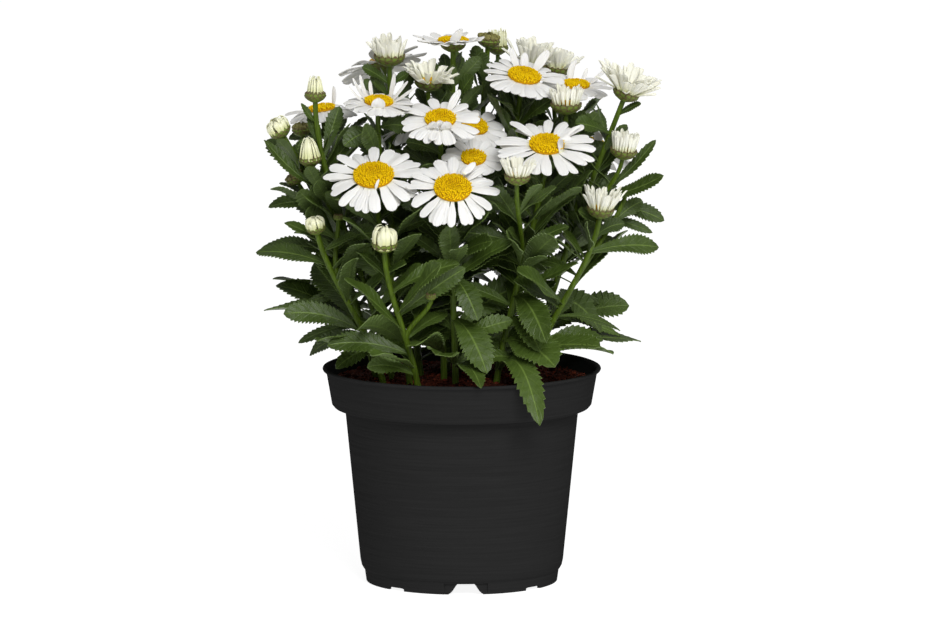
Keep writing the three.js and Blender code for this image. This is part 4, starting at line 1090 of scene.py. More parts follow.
class DAISY_OT_soil(Operator):
    """Model the peat: its filling, its lumpy surface, and loose crumbs on it"""

    bl_idname = "daisy.soil"
    bl_label = "Soil"

    def execute(self, context):
        settings = context.scene.daisy_soil
        inside = COLLAR_RADIUS - WALL / 2 - 0.3
        rings = [(radius, soil_level(radius)) for radius in np.linspace(inside + 1.2, 2, 34)]
        body = turn_profile("filling", [
            (WALL_FOOT_RADIUS - WALL - 0.9, FLOOR_UNDERSIDE + WALL + 0.3),
            (SHOULDER_RADIUS - WALL - 0.4, SHOULDER_HEIGHT + WALL + 0.3),
            (inside - 1.4, SHOULDER_HEIGHT + WALL + 0.6),
            (inside, SHOULDER_HEIGHT + WALL + 2),
            (inside + 1.2, SOIL_EDGE - 1),
            *rings], 128)
        points, faces = read_mesh(body)
        points /= MM
        for point in points:
            if point[2] > SOIL_EDGE - 0.5 and math.hypot(point[0], point[1]) < inside:
                point[2] = soil_height(point[0], point[1])
        pile = Pile()
        pile.add(points, faces, tone=0.55)
        draw = draws_for(77)
        for kind in range(3):
            deselect()
            bpy.ops.mesh.primitive_ico_sphere_add(subdivisions=2 if kind == 0 else 1, radius=0.5)
            form, crumb_faces = read_mesh(bpy.context.object)
            rough = np.array([1 + 0.55 * noise.noise(Vector(point) * 2.3 + Vector((kind * 5, 0, 0)))
                              for point in form])
            form = form * rough[:, None]
            copies, tones = [], []
            for _ in range(settings.crumbs // 3):
                size = settings.crumb / MM * (0.25 + 0.75 * draw() ** 2.2)
                radius = (inside - size * 0.5) * math.sqrt(draw())
                angle = draw() * 2 * math.pi
                x, y = radius * math.cos(angle), radius * math.sin(angle)
                turn = Matrix.Rotation(draw() * 6, 3, "Z") @ Matrix.Rotation(draw() * 6, 3, "X")
                flat = np.array([1, 0.5 + 0.5 * draw(), 0.35 + 0.4 * draw()])
                copy = (form * flat * size) @ np.array(turn).T
                copies.append(copy + np.array([x, y, soil_height(x, y) + size * 0.08]))
                tones.append(0.15 + 1.2 * draw() ** 2)
            pile.add(np.array(copies), crumb_faces, tone=tones)
        piece = pile.piece("peat", [damp_peat(settings)], sharp=60)
        finish(piece, "peat", "soil")
        return {"FINISHED"}


# Blooms

RAY_PLACES = (0, 0.08, 0.18, 0.3, 0.42, 0.54, 0.66, 0.75, 0.83, 0.89, 0.94, 0.975, 1)
GUTTER_PLACES = (0, 0.15, 0.35, 0.55, 0.75, 0.88, 0.95, 1)
BRACT_PLACES = (0, 0.45, 0.8, 1)
RAY_TOOTH = 0.022
RIB_DEPTH = 0.16
RAY_SLIMMING = 0.82
RAY_LENGTHENING = 1.05
RAYS_UNDER_RING = 1.5
LAYER_GAP = 0.3
FLORET_SPACING = 1.35
OPENING_FLORET_SPACING = 1.3


def ray_outline(places):
    """A ray's half width along it, as a share of its widest: narrow at its root, round at its tip."""
    root = 0.4 + 0.6 * smooth(0, 0.55, places)
    tip = np.sqrt(1 - 0.93 * np.clip((places - 0.76) / 0.24, 0, 1) ** 2.6)
    return root * tip


def folded_outline(places):
    """The half width of a ray that has folded or stands up: widest in its middle, its end round."""
    root = 0.6 + 0.4 * smooth(0, 0.4, places)
    return root * np.sqrt(1 - 0.96 * np.clip((places - 0.4) / 0.6, 0, 1) ** 2.4)


def gutter_outline(places):
    """The half width of a ray that still stands upright: wider upwards, and round at its tip."""
    root = 0.5 + 0.5 * smooth(0, 0.8, places)
    tip = np.sqrt(1 - 0.94 * np.clip((places - 0.8) / 0.2, 0, 1) ** 2)
    return root * tip


def bud_outline(places, loose):
    """The half width of a ray in a bud: even, and pointed at its tip, sooner in a loose bud."""
    end = 0.3 if loose else 0.6
    root = 0.8 + 0.2 * smooth(0, 0.5, places)
    return root * (1 - 0.88 * np.clip((places - end) / (1 - end), 0, 1) ** 1.5)


def ray_lines(ring, rays, places, level=RAY_LEVEL):
    """The middle line of each ray with its side, normal and direction, in the head's frame."""
    fine = np.linspace(0, 1, 49)
    bend = smooth(RAY_BEND_AT - 0.28, RAY_BEND_AT + 0.28, fine)
    angle = np.array([ray["angle"] for ray in rays])[:, None]
    rise = np.radians([ray["rise"] for ray in rays])[:, None]
    fall = np.radians([ray["bend"] for ray in rays])[:, None]
    twist = np.array([ray["twist"] for ray in rays])[:, None]
    length = np.array([ray["length"] for ray in rays])[:, None]
    curve = np.array([ray.get("curve", 0) for ray in rays])[:, None]
    ring = np.reshape(ring, (-1, 1))
    slope = rise - fall * bend
    step = 1 / (len(fine) - 1)

    def run(values):
        middle = (values[:, 1:] + values[:, :-1]) / 2
        return np.concatenate([np.zeros((len(values), 1)), np.cumsum(middle, axis=1) * step], axis=1)

    at = [np.argmin(abs(fine - place)) for place in places]
    out = (ring + run(np.cos(slope)) * length)[:, at]
    up = (level + run(np.sin(slope)) * length)[:, at]
    slope = slope[:, at]
    radial, round_ = round_head(angle)
    centre = radial * out[..., None] + UP * up[..., None]
    centre = centre + round_ * (curve * length * np.array(places) ** 2)[..., None]
    along = radial * np.cos(slope)[..., None] + UP * np.sin(slope)[..., None]
    normal = UP * np.cos(slope)[..., None] - radial * np.sin(slope)[..., None]
    turn = (twist * np.minimum(1, np.array(places) / RAY_BEND_AT))[..., None]
    side = round_ * np.cos(turn) + normal * np.sin(turn)
    normal = normal * np.cos(turn) - round_ * np.sin(turn)
    return centre, side, normal, along


def lay_rays(blade, head, ring, rays, thickness, cupping, level=RAY_LEVEL, outline=ray_outline):
    """Copies of the ray blade on a head, in the part's frame."""
    centre, side, normal, along = ray_lines(ring, rays, blade.places, level)
    width = np.array([ray["half"] for ray in rays])[:, None]
    length = np.array([ray["length"] for ray in rays])[:, None]
    half = width * outline(blade.places)
    across = blade.across
    ribs = RIB_DEPTH * (np.cos(3 * math.pi * across) - 1) * smooth(0.05, 0.3, blade.place)
    ribs = ribs * np.minimum(1, width / 3)
    cup = np.asarray(cupping, float).reshape(-1, 1) * half[:, blade.row] * across ** 2
    # the tip has three short blunt teeth
    teeth = -RAY_TOOTH * length * (1 - np.cos(3 * math.pi * across)) / 2 * smooth(0.84, 1, blade.place)
    points = lay(blade, centre, side, normal, half, ribs + cup, thickness, along, teeth)
    return head.place(points)


def dome_height(share):
    """Height of a disc's dome over its radius, at a share of its radius."""
    edge = np.clip(share - 0.5, 0, 1) / 0.5
    return 0.25 - 0.15 * edge ** 2 - 0.05 * np.exp(-(share / 0.24) ** 2)


def model_floret(opened):
    """A disc floret: a small trumpet with five lobes, or a round closed one."""
    deselect()
    if not opened:
        bpy.ops.mesh.primitive_ico_sphere_add(subdivisions=1, radius=0.5)
        points, faces = read_mesh(bpy.context.object)
        points[:, 2] *= 1.3
        return Form(points, faces)
    bpy.ops.mesh.primitive_cone_add(vertices=10, radius1=0.24, radius2=0.5, depth=1.3,
                                    end_fill_type="TRIFAN")
    points, faces = read_mesh(bpy.context.object)
    for point in points:
        radius = math.hypot(point[0], point[1])
        if point[2] > 0:
            lobe = round(math.atan2(point[1], point[0]) * 10 / (2 * math.pi)) % 2 == 0
            point[:2] *= 1 if lobe else 0.66
            point[2] += -0.28 if radius < 0.1 else (0.1 if lobe else -0.1)
    return Form(points, faces)


def add_florets(pile, head, radius, floor, spacing, kit, slot, opened_from=0.42, height=1.0):
    """A dome of florets in their two way spiral, smallest at its middle: closed ones up to a share
    of the radius, and open ones beyond it."""
    rings = np.linspace(0, 1, 200)
    gap = spacing * (0.68 + 0.32 * smooth(opened_from - 0.15, opened_from + 0.15, rings))
    number = np.cumsum(2 * math.pi * rings * radius ** 2 / gap ** 2) / len(rings)
    order = np.arange(int(number[-1])) + 0.5
    share = np.interp(order, number, rings)
    angle = np.radians(order * GOLDEN_TURN)
    up = dome_height(share) * radius * height + floor
    slope = (dome_height(share + 0.02) - dome_height(share - 0.02)) / 0.04 * height
    radial, round_ = round_head(angle)
    normal = unit(UP - radial * slope[:, None])
    down = np.cross(round_, normal)
    jitter = np.sin(order * 12.9898) * 43758.5453 % 1
    stray = (np.sin(order * 78.233) * 24634.6345 % 1 - 0.5) * spacing * 0.55
    place = radial * (share * (radius - 0.3) + stray)[:, None] + UP * (up + 0.3 * jitter)[:, None]
    place = place + round_ * ((jitter - 0.5) * spacing * 0.55)[:, None]
    tone = 0.35 + 0.5 * jitter
    for form, chosen, filling, paler in ((kit.open_floret, share >= opened_from, 0.93, 0.3),
                                         (kit.closed_floret, share < opened_from, 0.86, 0.1)):
        size = (np.interp(share, rings, gap) * filling * (0.92 + 0.16 * jitter))[chosen]
        local = form.points[None] * size[:, None, None]
        basis = np.stack([down, round_, normal], axis=1)[chosen]
        copies = np.einsum("nij,njk->nik", local, basis) + place[chosen][:, None]
        pile.add(head.place(copies), form.faces, slot, tone=tone[chosen] + paler)
    body = kit.dome.points * np.array([radius, radius, 1])
    share_body = np.clip(np.hypot(body[:, 0], body[:, 1]) / radius, 0, 1)
    body[:, 2] = np.where(body[:, 2] > 0, dome_height(share_body) * radius * height - 0.5, 0) + floor
    # the lid under the florets takes tone 0, which paints it deep ochre as painted shade in the gaps between
    # them
    pile.add(head.place(body), kit.dome.faces, slot, tone=0.0)


def model_dome():
    """A flat round lid, whose top the florets cover."""
    deselect()
    bpy.ops.mesh.primitive_uv_sphere_add(segments=32, ring_count=16, radius=1)
    points, faces = read_mesh(bpy.context.object)
    low = points[:, 2] <= 0.001
    points[low, :2] *= 0.985
    points[:, 2] = np.where(low, 0, 1)
    return Form(points, faces)


class Kit:
    """The forms that repeat, each modelled once."""

    def __init__(self):
        self.ray = Blade(6, RAY_PLACES)
        self.gutter = Blade(4, GUTTER_PLACES)
        self.bract = Blade(2, BRACT_PLACES)
        self.closed_floret = model_floret(False)
        self.open_floret = model_floret(True)
        self.dome = model_dome()
        self.large_leaf = Blade(4, leaf_places(15))
        self.small_leaf = Blade(2, leaf_places(9))


def between(rays, count, draw, drop):
    """Rays of the lower layer: each stands between two of the first and follows their bend."""
    number = len(rays)
    count = min(count, number)
    lower = []
    for k in range(count):
        i = int(k * number / count)
        first, second = rays[i], rays[(i + 1) % number]
        angle = (i + 0.5 + (draw() - 0.5) * 0.35) * 2 * math.pi / number
        lower.append(dict(
            angle=angle,
            length=min(first["length"], second["length"]) * (0.84 + 0.18 * draw()),
            rise=min(first["rise"], second["rise"]) - drop + 3 * draw(),
            bend=(first["bend"] + second["bend"]) / 2,
            twist=(draw() - 0.5) * RAY_TWIST,
            half=min(first["half"], second["half"]),
        ))
    return lower


def echo(rays, turn, rise, length, draw):
    """The same rays once more, turned by a share of their step, raised and shortened."""
    step = 2 * math.pi / len(rays)
    return [{**ray, "angle": ray["angle"] + step * (turn + 0.3 * (draw() - 0.5)),
             "rise": ray["rise"] + rise + 5 * (draw() - 0.5),
             "length": ray["length"] * length * (0.84 + 0.2 * draw()),
             "twist": 0.8 * (draw() - 0.5), "curve": 0.14 * (draw() - 0.5)} for ray in rays]


# Half the width of the widest ray
WIDEST_RAY = 4.1

# Rays that stand out from the rest of their bloom: degrees round the head, where the root is as a
# share of the ring, length, half width, rise, bend, and how far it curves sideways
SPECIAL_RAYS = {
    "F1": [(-84, 1, 8, 1.1, 80, -35, 0.3)],
    "F2": [(50, 0.82, 12, 2.5, 16, 6, 0)],
    "F3": [(-38, 0.96, 21, 3.4, 105, 125, 0.1), (38, 1, 18, 1.3, 30, 20, 0)],
    "F4": [(-110, 1, 9, 4, 56, -30, 0.06), (-92, 0.98, 10, 4, 60, -26, 0), (-74, 1, 9, 4.2, 56, -32, -0.06),
           (62, 1, 19, 2.8, 30, 14, 0)],
    "F5": [(58, 1, 19, 3.3, 42, 6, 0), (116, 1, 16, 2.8, 36, 4, 0), (92, 1, 14, 3, 28, 0, 0)],
    "F8": [(-92, 1, 8.5, 4.8, 62, -20, 0), (170, 1, 14, 2.5, 40, -8, 0),
           (154, 1, 17, 2.4, 54, -10, 0.1), (140, 1, 17, 2.1, 62, -8, 0), (116, 1, 12, 1.5, 64, -10, 0),
           (46, 1, 18, 1.9, 72, -4, 0.1), (30, 1, 17, 1.5, 52, 0, -0.1), (12, 1, 18, 1.8, 36, 0, 0)],
    "F9": [(42, 1, 14, 1.9, 76, -6, 0)],
    "F10": [(-86, 1.04, 12.5, 3.6, 62, -6, 0.35), (-176, 1, 17.5, 3.6, 22, 12, 0),
            (-148, 1, 18, 3.4, 14, 8, 0)],
    "F11": [(108, 1, 16, 2.7, 60, -8, -0.35), (30, 1, 17, 2.1, 36, 0, 0), (66, 1, 12, 1.6, 44, 0, 0)],
}


def special_rays(name):
    """The rays of a bloom that stand out, and where each one's root is as a share of the ring."""
    rows = SPECIAL_RAYS.get(name, [])
    rays = [dict(angle=math.radians(turn), length=length, half=half, rise=rise, bend=bend, twist=0.15,
                 curve=curve) for turn, _, length, half, rise, bend, curve in rows]
    return rays, np.array([row[1] for row in rows])


class DAISY_OT_blooms(Operator):
    """Model the open blooms: two layers of white rays, and a disc of florets"""

    bl_idname = "daisy.blooms"
    bl_label = "Open blooms"

    def execute(self, context):
        settings = context.scene.daisy_plant
        kit = Kit()
        white = ray_petal("Ray petal", settings.ray, linear("#e3e4b4"), 0.12)
        yellow = pollen_floret(settings.floret)
        for number, name in enumerate(OPEN_BLOOMS):
            head = HEADS[name]
            bloom = f"bloom_{number + 1:02d}"
            ring, rays = rays_as_placed(head, number + 1, f"{bloom}_rays")
            draw = draws_for(300 + number)
            for ray in rays:
                ray["half"] = min(ray["half"] * RAY_SLIMMING, WIDEST_RAY) * (0.84 + 0.26 * draw())
                ray["curve"] = 0.12 * (draw() - 0.5)
                ray["length"] *= RAY_LENGTHENING
            lower = between(rays, max(8, settings.rays - head.rays), draw, 5)
            for ray in lower:
                CROWD.add(name, *ray_strip(head, ring, [ray]))
            CROWD.add(name, *ray_strip(head, ring, rays))
            pile = Pile()
            thickness = settings.ray_thickness / MM
            special, starts = special_rays(name)
            layers = [(rays, ring - RAYS_UNDER_RING, RAY_LEVEL, ray_outline),
                      (lower, ring - RAYS_UNDER_RING, RAY_LEVEL - LAYER_GAP, ray_outline)]
            if special:
                on_disc = 0.25 * head.disc * (starts.min() < 0.9)
                layers.append((special, ring * starts, RAY_LEVEL + on_disc, folded_outline))
            for layer, start, level, outline in layers:
                cupping = [0.4 * draw() - 0.3 for _ in layer]
                points = lay_rays(kit.ray, head, start, layer, thickness, cupping, level, outline)
                pile.add(points, kit.ray.faces, uv=kit.ray.uv, tone=many(draw, len(layer)))
            finish(pile.piece(f"{bloom}_white_rays", [white]), "white_ray", f"{bloom}_rays")
            pile = Pile()
            add_florets(pile, head, head.disc / 2, RAY_LEVEL + LAYER_GAP, FLORET_SPACING, kit, 0)
            finish(pile.piece(f"{bloom}_florets", [yellow], sharp=60), "yellow_floret", f"{bloom}_disc")
        return {"FINISHED"}


# How wide the upright rays of each opening head are, half way across, how far its outer ones have
# come down already, and how much more upright all of them stand than the solid's, in degrees
OPENING_FORMS = {"H1": (1.8, 46, 15), "H2": (2.3, 40, 0), "H3": (2.3, 52, 0), "H4": (2.2, 44, 0),
                 "H5": (1.15, 4, 3), "H6": (1.15, 6, 0), "H7": (1.3, 5, 0), "H8": (1.2, 14, 0),
                 "H9": (2.0, 36, 0)}
SHOWS_ITS_DISC = ("H5", "H6", "H2")
LOOSE_HEADS = ("H2", "H3", "H4", "H9")


class DAISY_OT_openings(Operator):
    """Model the opening heads: cream rays that still stand upright round a small disc"""

    bl_idname = "daisy.openings"
    bl_label = "Opening heads"

    def execute(self, context):
        settings = context.scene.daisy_plant
        kit = Kit()
        cream = ray_petal("Ray petal, opening", settings.cream, linear("#d5d88a"), 0.42)
        yellow = pollen_floret(linear("#e0b416"))
        for number, name in enumerate(OPENING_HEADS):
            head = HEADS[name]
            node = f"opening_{number + 1:02d}"
            ring, rays = rays_as_placed(head, len(OPEN_BLOOMS) + number + 1, node)
            draw = draws_for(400 + number)
            CROWD.add(name, *ray_strip(head, ring, rays))
            half, spread, lift = OPENING_FORMS[name]
            for ray in rays:
                ray["rise"] += lift
            outer = echo(rays, 0, 0, 1.05, draw) + echo(rays, 0.33, 0, 1.03, draw)
            if half < 2:
                outer += echo(rays, 0.67, 0, 1.04, draw)
            for ray in outer:
                ray["rise"] -= spread * draw() ** (1.6 if name in LOOSE_HEADS else 4)
            inner = echo(rays, 0.2, 3, 0.96, draw)
            if name != "H2":
                inner += echo(rays, 0.7, 4, 0.92, draw)
            layers = [(outer, ring), (inner, ring * 0.82)]
            if name not in SHOWS_ITS_DISC:
                layers.append((echo(rays, 0.1, 8, 0.85, draw), ring * 0.6))
            pile = Pile()
            for layer, radius in layers:
                for ray in layer:
                    ray["half"] = half * (0.85 + 0.3 * draw())
                cupping = [0.5 + 0.5 * draw() for _ in layer]
                points = lay_rays(kit.gutter, head, radius, layer, settings.ray_thickness / MM, cupping, 0.1,
                                  gutter_outline)
                pile.add(points, kit.gutter.faces, 0, uv=kit.gutter.uv, tone=many(draw, len(layer)))
            add_florets(pile, head, ring * 0.7, 0.1, OPENING_FLORET_SPACING, kit, 1, 0.9, 1.1)
            finish(pile.piece(f"{node}_head", [cream, yellow]), "cream_ray", node)
        return {"FINISHED"}


# Stems and leaves

class Crowd:
    """What stands in the way of a new leaf: thin strips and tubes, each with its owner."""

    def __init__(self):
        self.pieces = []

    def add(self, owner, points, faces):
        """Adds something that stands in the way."""
        tree = BVHTree.FromPolygons(points.tolist(), faces)
        self.pieces.append((owner, points.min(0), points.max(0), tree))

    def is_clear(self, owner, points, faces):
        """Whether nothing but the owner's own things is in the way."""
        low, high = points.min(0), points.max(0)
        near = [piece for piece in self.pieces
                if piece[0] != owner and (piece[1] <= high).all() and (piece[2] >= low).all()]
        if not near:
            return True
        tree = BVHTree.FromPolygons(points.tolist(), faces)
        return not any(tree.overlap(piece[3]) for piece in near)


CROWD = Crowd()

# The blooms at the back, which the photograph hardly shows
BACK_BLOOMS = ("F12", "F15", "F16", "F17")


def strip_faces(rows, offset=0):
    """Faces of a strip of pairs of points."""
    return [[offset + 2 * i, offset + 2 * i + 1, offset + 2 * i + 3, offset + 2 * i + 2]
            for i in range(rows - 1)]


def ray_strip(head, ring, rays):
    """Rays as plain strips, to keep leaves clear of them."""
    places = (0, 0.3, 0.6, 0.8, 1)
    centre, side, _, _ = ray_lines(ring, rays, places)
    half = np.array([ray["half"] for ray in rays])[:, None, None] * ray_outline(np.array(places))[:, None]
    pairs = np.stack([centre - side * half, centre + side * half], axis=2)
    points = head.place(pairs.reshape(-1, 3))
    faces = [face for i in range(len(rays)) for face in strip_faces(len(places), i * 2 * len(places))]
    return points, faces


def leaf_places(teeth):
    """Rows of a leaf: five up to its first tooth, three to each tooth, and its tip."""
    start = 0.2
    step = (0.97 - start) / teeth
    rows = list(np.linspace(0, start, 6))[:-1]
    for tooth in range(teeth):
        rows += [start + tooth * step, start + (tooth + 0.45) * step, start + (tooth + 0.9) * step]
    return (*rows, 0.985, 1.0)


def leaf_spread(places):
    """Half width of a leaf along it, as a share of its widest, which is past its middle."""
    body = LEAF_NECK + (1 - LEAF_NECK) * np.sin(math.pi * places ** LEAF_SHAPE[0]) ** LEAF_SHAPE[1]
    return body * np.sqrt(np.clip(1 - np.clip((places - 0.9) / 0.1, 0, 1) ** 2, 0, 1)) + 0.01


def leaf_lines(leaf, places):
    """A leaf's rib with its side, normal and direction at each row."""
    places = np.asarray(places)[:, None]
    chord = leaf["tip"] - leaf["root"]
    control = leaf["root"] + chord / 2 + UP * leaf["arch"]
    rest = 1 - places
    centre = leaf["root"] * rest ** 2 + 2 * control * rest * places + leaf["tip"] * places ** 2
    along = unit((control - leaf["root"]) * rest + (leaf["tip"] - control) * places)
    across = unit(np.array([-chord[1], chord[0], 0]))
    normal = unit(np.cross(along, across))
    roll = leaf["roll"] + leaf.get("twist", 0) * places
    side = across * np.cos(roll) + normal * np.sin(roll)
    return centre, side, unit(np.cross(along, side)), along


def lay_leaf(blade, leaf, thickness):
    """A copy of the leaf blade bent to a leaf."""
    centre, side, normal, along = (rows[None] for rows in leaf_lines(leaf, blade.places))
    half = (leaf["width"] / 2 * leaf_spread(blade.places))[None]
    hand = np.sign(blade.across)
    off = abs(blade.across)
    wave = LEAF_WAVE * np.sin(blade.place * LEAF_WAVES + leaf["phase"] - hand)
    fold = half[:, blade.row] * (LEAF_FOLD * off ** 0.9 + 1.4 * wave * off ** 2)
    ripple = 0.25 * np.sin(blade.place * 46 + off * 5) * off * (1 - off) * 4
    tooth = tooth_shape(blade)
    reach = half[:, blade.row] * hand * tooth * (off > 0.99)
    points = lay(blade, centre, side, normal, half, fold + ripple, thickness, along,
                 0.35 * abs(reach))
    return points + side[:, blade.row] * reach[..., None]


def tooth_shape(blade):
    """How far a leaf's margin stands out at each point: notch, slope and tooth in turn."""
    first = 5
    turn = (blade.row - first) % 3
    toothed = (blade.row >= first) & (blade.row < len(blade.places) - 2)
    return np.where(toothed, np.choose(turn, (-0.1, 0.0, 0.15)), 0.0) * smooth(0.15, 0.35, blade.place)


def leaf_strip(leaf):
    """A leaf as a plain strip, to keep others clear of it."""
    places = np.array([0.12, 0.3, 0.5, 0.7, 0.88, 1.0])
    centre, side, normal, _ = leaf_lines(leaf, places)
    half = (leaf["width"] / 2 * leaf_spread(places))[:, None]
    left = centre - side * half + normal * half * LEAF_FOLD
    right = centre + side * half + normal * half * LEAF_FOLD
    points = np.stack([left, centre, centre, right], axis=1).reshape(-1, 3)
    faces = []
    for i in range(len(places) - 1):
        faces += [[4 * i, 4 * i + 1, 4 * i + 5, 4 * i + 4], [4 * i + 2, 4 * i + 3, 4 * i + 7, 4 * i + 6]]
    return points, faces


def model_stem(stalk):
    """A stem as a curve with its two handles, swept with a round section and made a mesh."""
    deselect()
    bpy.ops.curve.primitive_bezier_curve_add(radius=1)
    line = bpy.context.object
    first, second = line.data.splines[0].bezier_points
    a, b, c, d = (Vector(point) * MM for point in stalk.handles)
    for point in (first, second):
        point.handle_left_type = point.handle_right_type = "FREE"
    first.co, first.handle_left, first.handle_right = a, a * 2 - b, b
    second.co, second.handle_left, second.handle_right = d, c, d * 2 - c
    first.radius = 1.0
    second.radius = 0.78
    line.data.resolution_u = 22
    line.data.bevel_mode = "ROUND"
    line.data.bevel_depth = stalk.radius * MM
    line.data.bevel_resolution = 3
    line.data.use_fill_caps = True
    bpy.ops.object.convert(target="MESH")
    points, faces = read_mesh(bpy.context.object)
    return points / MM, faces


# Rows of bracts on a cup, from below: where a row starts and how long it is, as shares of the cup's
# depth, how many bracts it has, and how proud they stand
CUP_ROWS = ((0.0, 0.6, 9, 0.9), (0.2, 0.62, 11, 0.55), (0.4, 0.64, 14, 0.2))


def cup_radius(head, share):
    """Radius of a cup at a share of its depth."""
    return 1.6 + (head.cup - 1.6) * np.sin(math.pi / 2 * np.clip(share, 0, 1.2)) ** 0.75


def add_cup(pile, head, kit, slot_skin, slot_bract, draw):
    """The green cup under a head: a bowl, and rows of bracts that overlap upwards."""
    share = np.linspace(0, 1, 9)
    angle = np.linspace(0, 2 * math.pi, 25)[:-1]
    bowl = cup_radius(head, share)[:, None] * 0.97
    points = np.stack([bowl * np.cos(angle), bowl * np.sin(angle),
                       np.repeat(((share - 1) * head.depth)[:, None], 24, axis=1)], axis=-1).reshape(-1, 3)
    faces = [[24 * i + j, 24 * i + (j + 1) % 24, 24 * (i + 1) + (j + 1) % 24, 24 * (i + 1) + j]
             for i in range(8) for j in range(24)]
    faces += [list(range(23, -1, -1)), [8 * 24 + j for j in range(24)]]
    pile.add(head.place(points), faces, slot_skin)
    closed = head.kind == "bud"
    for start, length, count, proud in CUP_ROWS:
        over = (0.3 if head.name in UNRIPE else 0.16) if closed else 0.14
        reach = length + (over if start > 0.3 else 0)
        rows = start + reach * kit.bract.place[None]
        turn = (np.arange(count) + draw())[:, None] * 2 * math.pi / count
        outline = np.sqrt(np.clip(1 - kit.bract.place ** 2.2, 0.02, 1))
        inwards = np.clip(rows - 1, 0, 1)
        radius = cup_radius(head, np.minimum(rows, 1)) - inwards * head.cup * (1.5 if closed else 0.2)
        radius = radius + proud * 0.6 + 0.25 + 0.22 * kit.bract.face - 0.3 * abs(kit.bract.across)
        spread = 1.25 * math.pi / count * outline * kit.bract.across
        around = turn - spread
        height = (rows - 1) * head.depth + (inwards * head.depth * 0.4 if closed else 0)
        copies = np.stack([radius * np.cos(around), radius * np.sin(around),
                           np.broadcast_to(height, around.shape)], axis=-1)
        pile.add(head.place(copies), kit.bract.faces, slot_bract, uv=kit.bract.uv)


# The rays of each closed bud: their distance from the middle at the cup and at the top, as shares of
# the cup's radius, how late they turn in, how far above the rim they start, and how high they reach
BUD_FORMS = {
    "B1": (0.8, 0.36, 1.3, -1.5, 12.2), "B2": (0.96, 0.5, 2.2, -1.5, 8), "B3": (0.92, 0.55, 3.0, -0.8, 3.4),
    "B4": (1.0, 0.26, 1.2, -1.5, 14.5), "B5": (0.92, 0.55, 3.0, -0.8, 2.6), "B6": (0.96, 0.4, 2.6, -1.5, 7),
    "B7": (0.9, 0.3, 2.3, -3.6, 12.5), "B8": (0.92, 0.55, 3.0, -0.8, 3.8), "B12": (0.9, 0.9, 1.0, -0.8, 12),
}
UNRIPE = ("B3", "B5", "B8")


def add_bud(pile, head, kit, draw):
    """The closed rays of a bud: narrow, pressed together, and curved in to its top."""
    if head.name not in BUD_FORMS:
        return
    base, top, late, start, reach = BUD_FORMS[head.name]
    slot = 4 if head.name in UNRIPE else 3
    loose = late < 1.5
    count = 17 if loose else 14
    for layer, inwards in enumerate((1, 0.72, 0.42)):
        angle = (np.arange(count) + 0.37 * layer + 0.7 * many(draw, count))[:, None]
        angle = angle * 2 * math.pi / count
        places = np.array(kit.gutter.places)
        height = (reach - start) * (1 - 0.3 * many(draw, count))[:, None]
        swell = 0 if loose else 0.16 * np.sin(math.pi * places)
        out = head.cup * inwards * (base + swell - (base - top) * places ** late)
        out = out * (1 + 0.12 * (many(draw, count)[:, None] - 0.5) * places)
        up = height * np.sin(places * math.pi / 2) ** (1.0 if loose else 0.8)
        radial, round_ = round_head(angle)
        centre = radial * out[..., None] + UP * (up + start)[..., None]
        along = unit(np.gradient(centre, axis=1))
        side = np.broadcast_to(round_, centre.shape)
        normal = np.cross(along, side)
        broad = ((0.72 if loose else 0.85) + 0.35 * many(draw, count))[:, None]
        half = broad * math.pi * np.maximum(out, head.cup * 0.3) / count * bud_outline(places, loose)
        cup = 0.3 * half[:, kit.gutter.row] * kit.gutter.across ** 2
        points = lay(kit.gutter, centre, side, normal, half, cup, 0.45)
        pile.add(head.place(points), kit.gutter.faces, slot, uv=kit.gutter.uv, tone=many(draw, count))


def hides_a_head(points):
    """Whether something stands in front of a head, where the photograph shows the head clear."""
    height = points[:, 2] + VIEW_DROP * points[:, 1]
    for head in HEADS.values():
        if head.name in BACK_BLOOMS:
            continue
        wide, tall = (0.48, 0.26) if head.kind == "open" else (0.5, 0.6)
        middle = head.at[2] + VIEW_DROP * head.at[1] + (0 if head.kind == "open" else head.height / 3)
        across = (points[:, 0] - head.at[0]) / (head.width * wide)
        up = (height - middle) / (max(head.width, 2 * head.cup) * tall)
        if (np.hypot(across, up)[points[:, 1] < head.at[1]] < 1).any():
            return True
    return False


# Small leaves near the heads that the photograph shows: the head whose stem each grows from, the
# height of its root, its tip, its width, and how far its middle arches up
SMALL_LEAVES = [
    ("H1", 337, (-68, 22, 350), 9, 2),
    ("H1", 336, (-33, 24, 350), 8, 2),
    ("H1", 326, (-60, 20, 340), 9, 0),
    ("H1", 312, (-36, 18, 328), 11, 3),
    ("H2", 322, (-31, 33, 351), 6, 0),
    ("B1", 292, (-83, -2, 331), 11, 2),
    ("B1", 297, (-104, -12, 322), 8, 1),
    ("B1", 316, (-109, -17, 330), 5, -4),
    ("F8", 309, (-80, -20, 301), 14, 7),
    ("F8", 312, (-34, -14, 312), 12, 5),
    ("F9", 296, (-76, 18, 318), 12, 3),
    ("F9", 300, (-118, 24, 300), 9, 5),
    ("F5", 312, (21, 16, 338), 16, 6),
    ("F5", 306, (64, 14, 330), 13, 4),
    ("F10", 318, (8, 40, 342), 12, 3),
    ("F10", 330, (-20, 44, 350), 9, 2),
    ("B8", 320, (2, 62, 348), 12, 3),
    ("B8", 316, (36, 62, 344), 12, 3),
    ("F11", 304, (92, 36, 324), 10, 2),
    ("H3", 318, (122, 6, 327), 6, 2),
    ("F3", 276, (36, -34, 296), 14, 4),
    ("F4", 296, (-38, -22, 304), 10, 3),
]


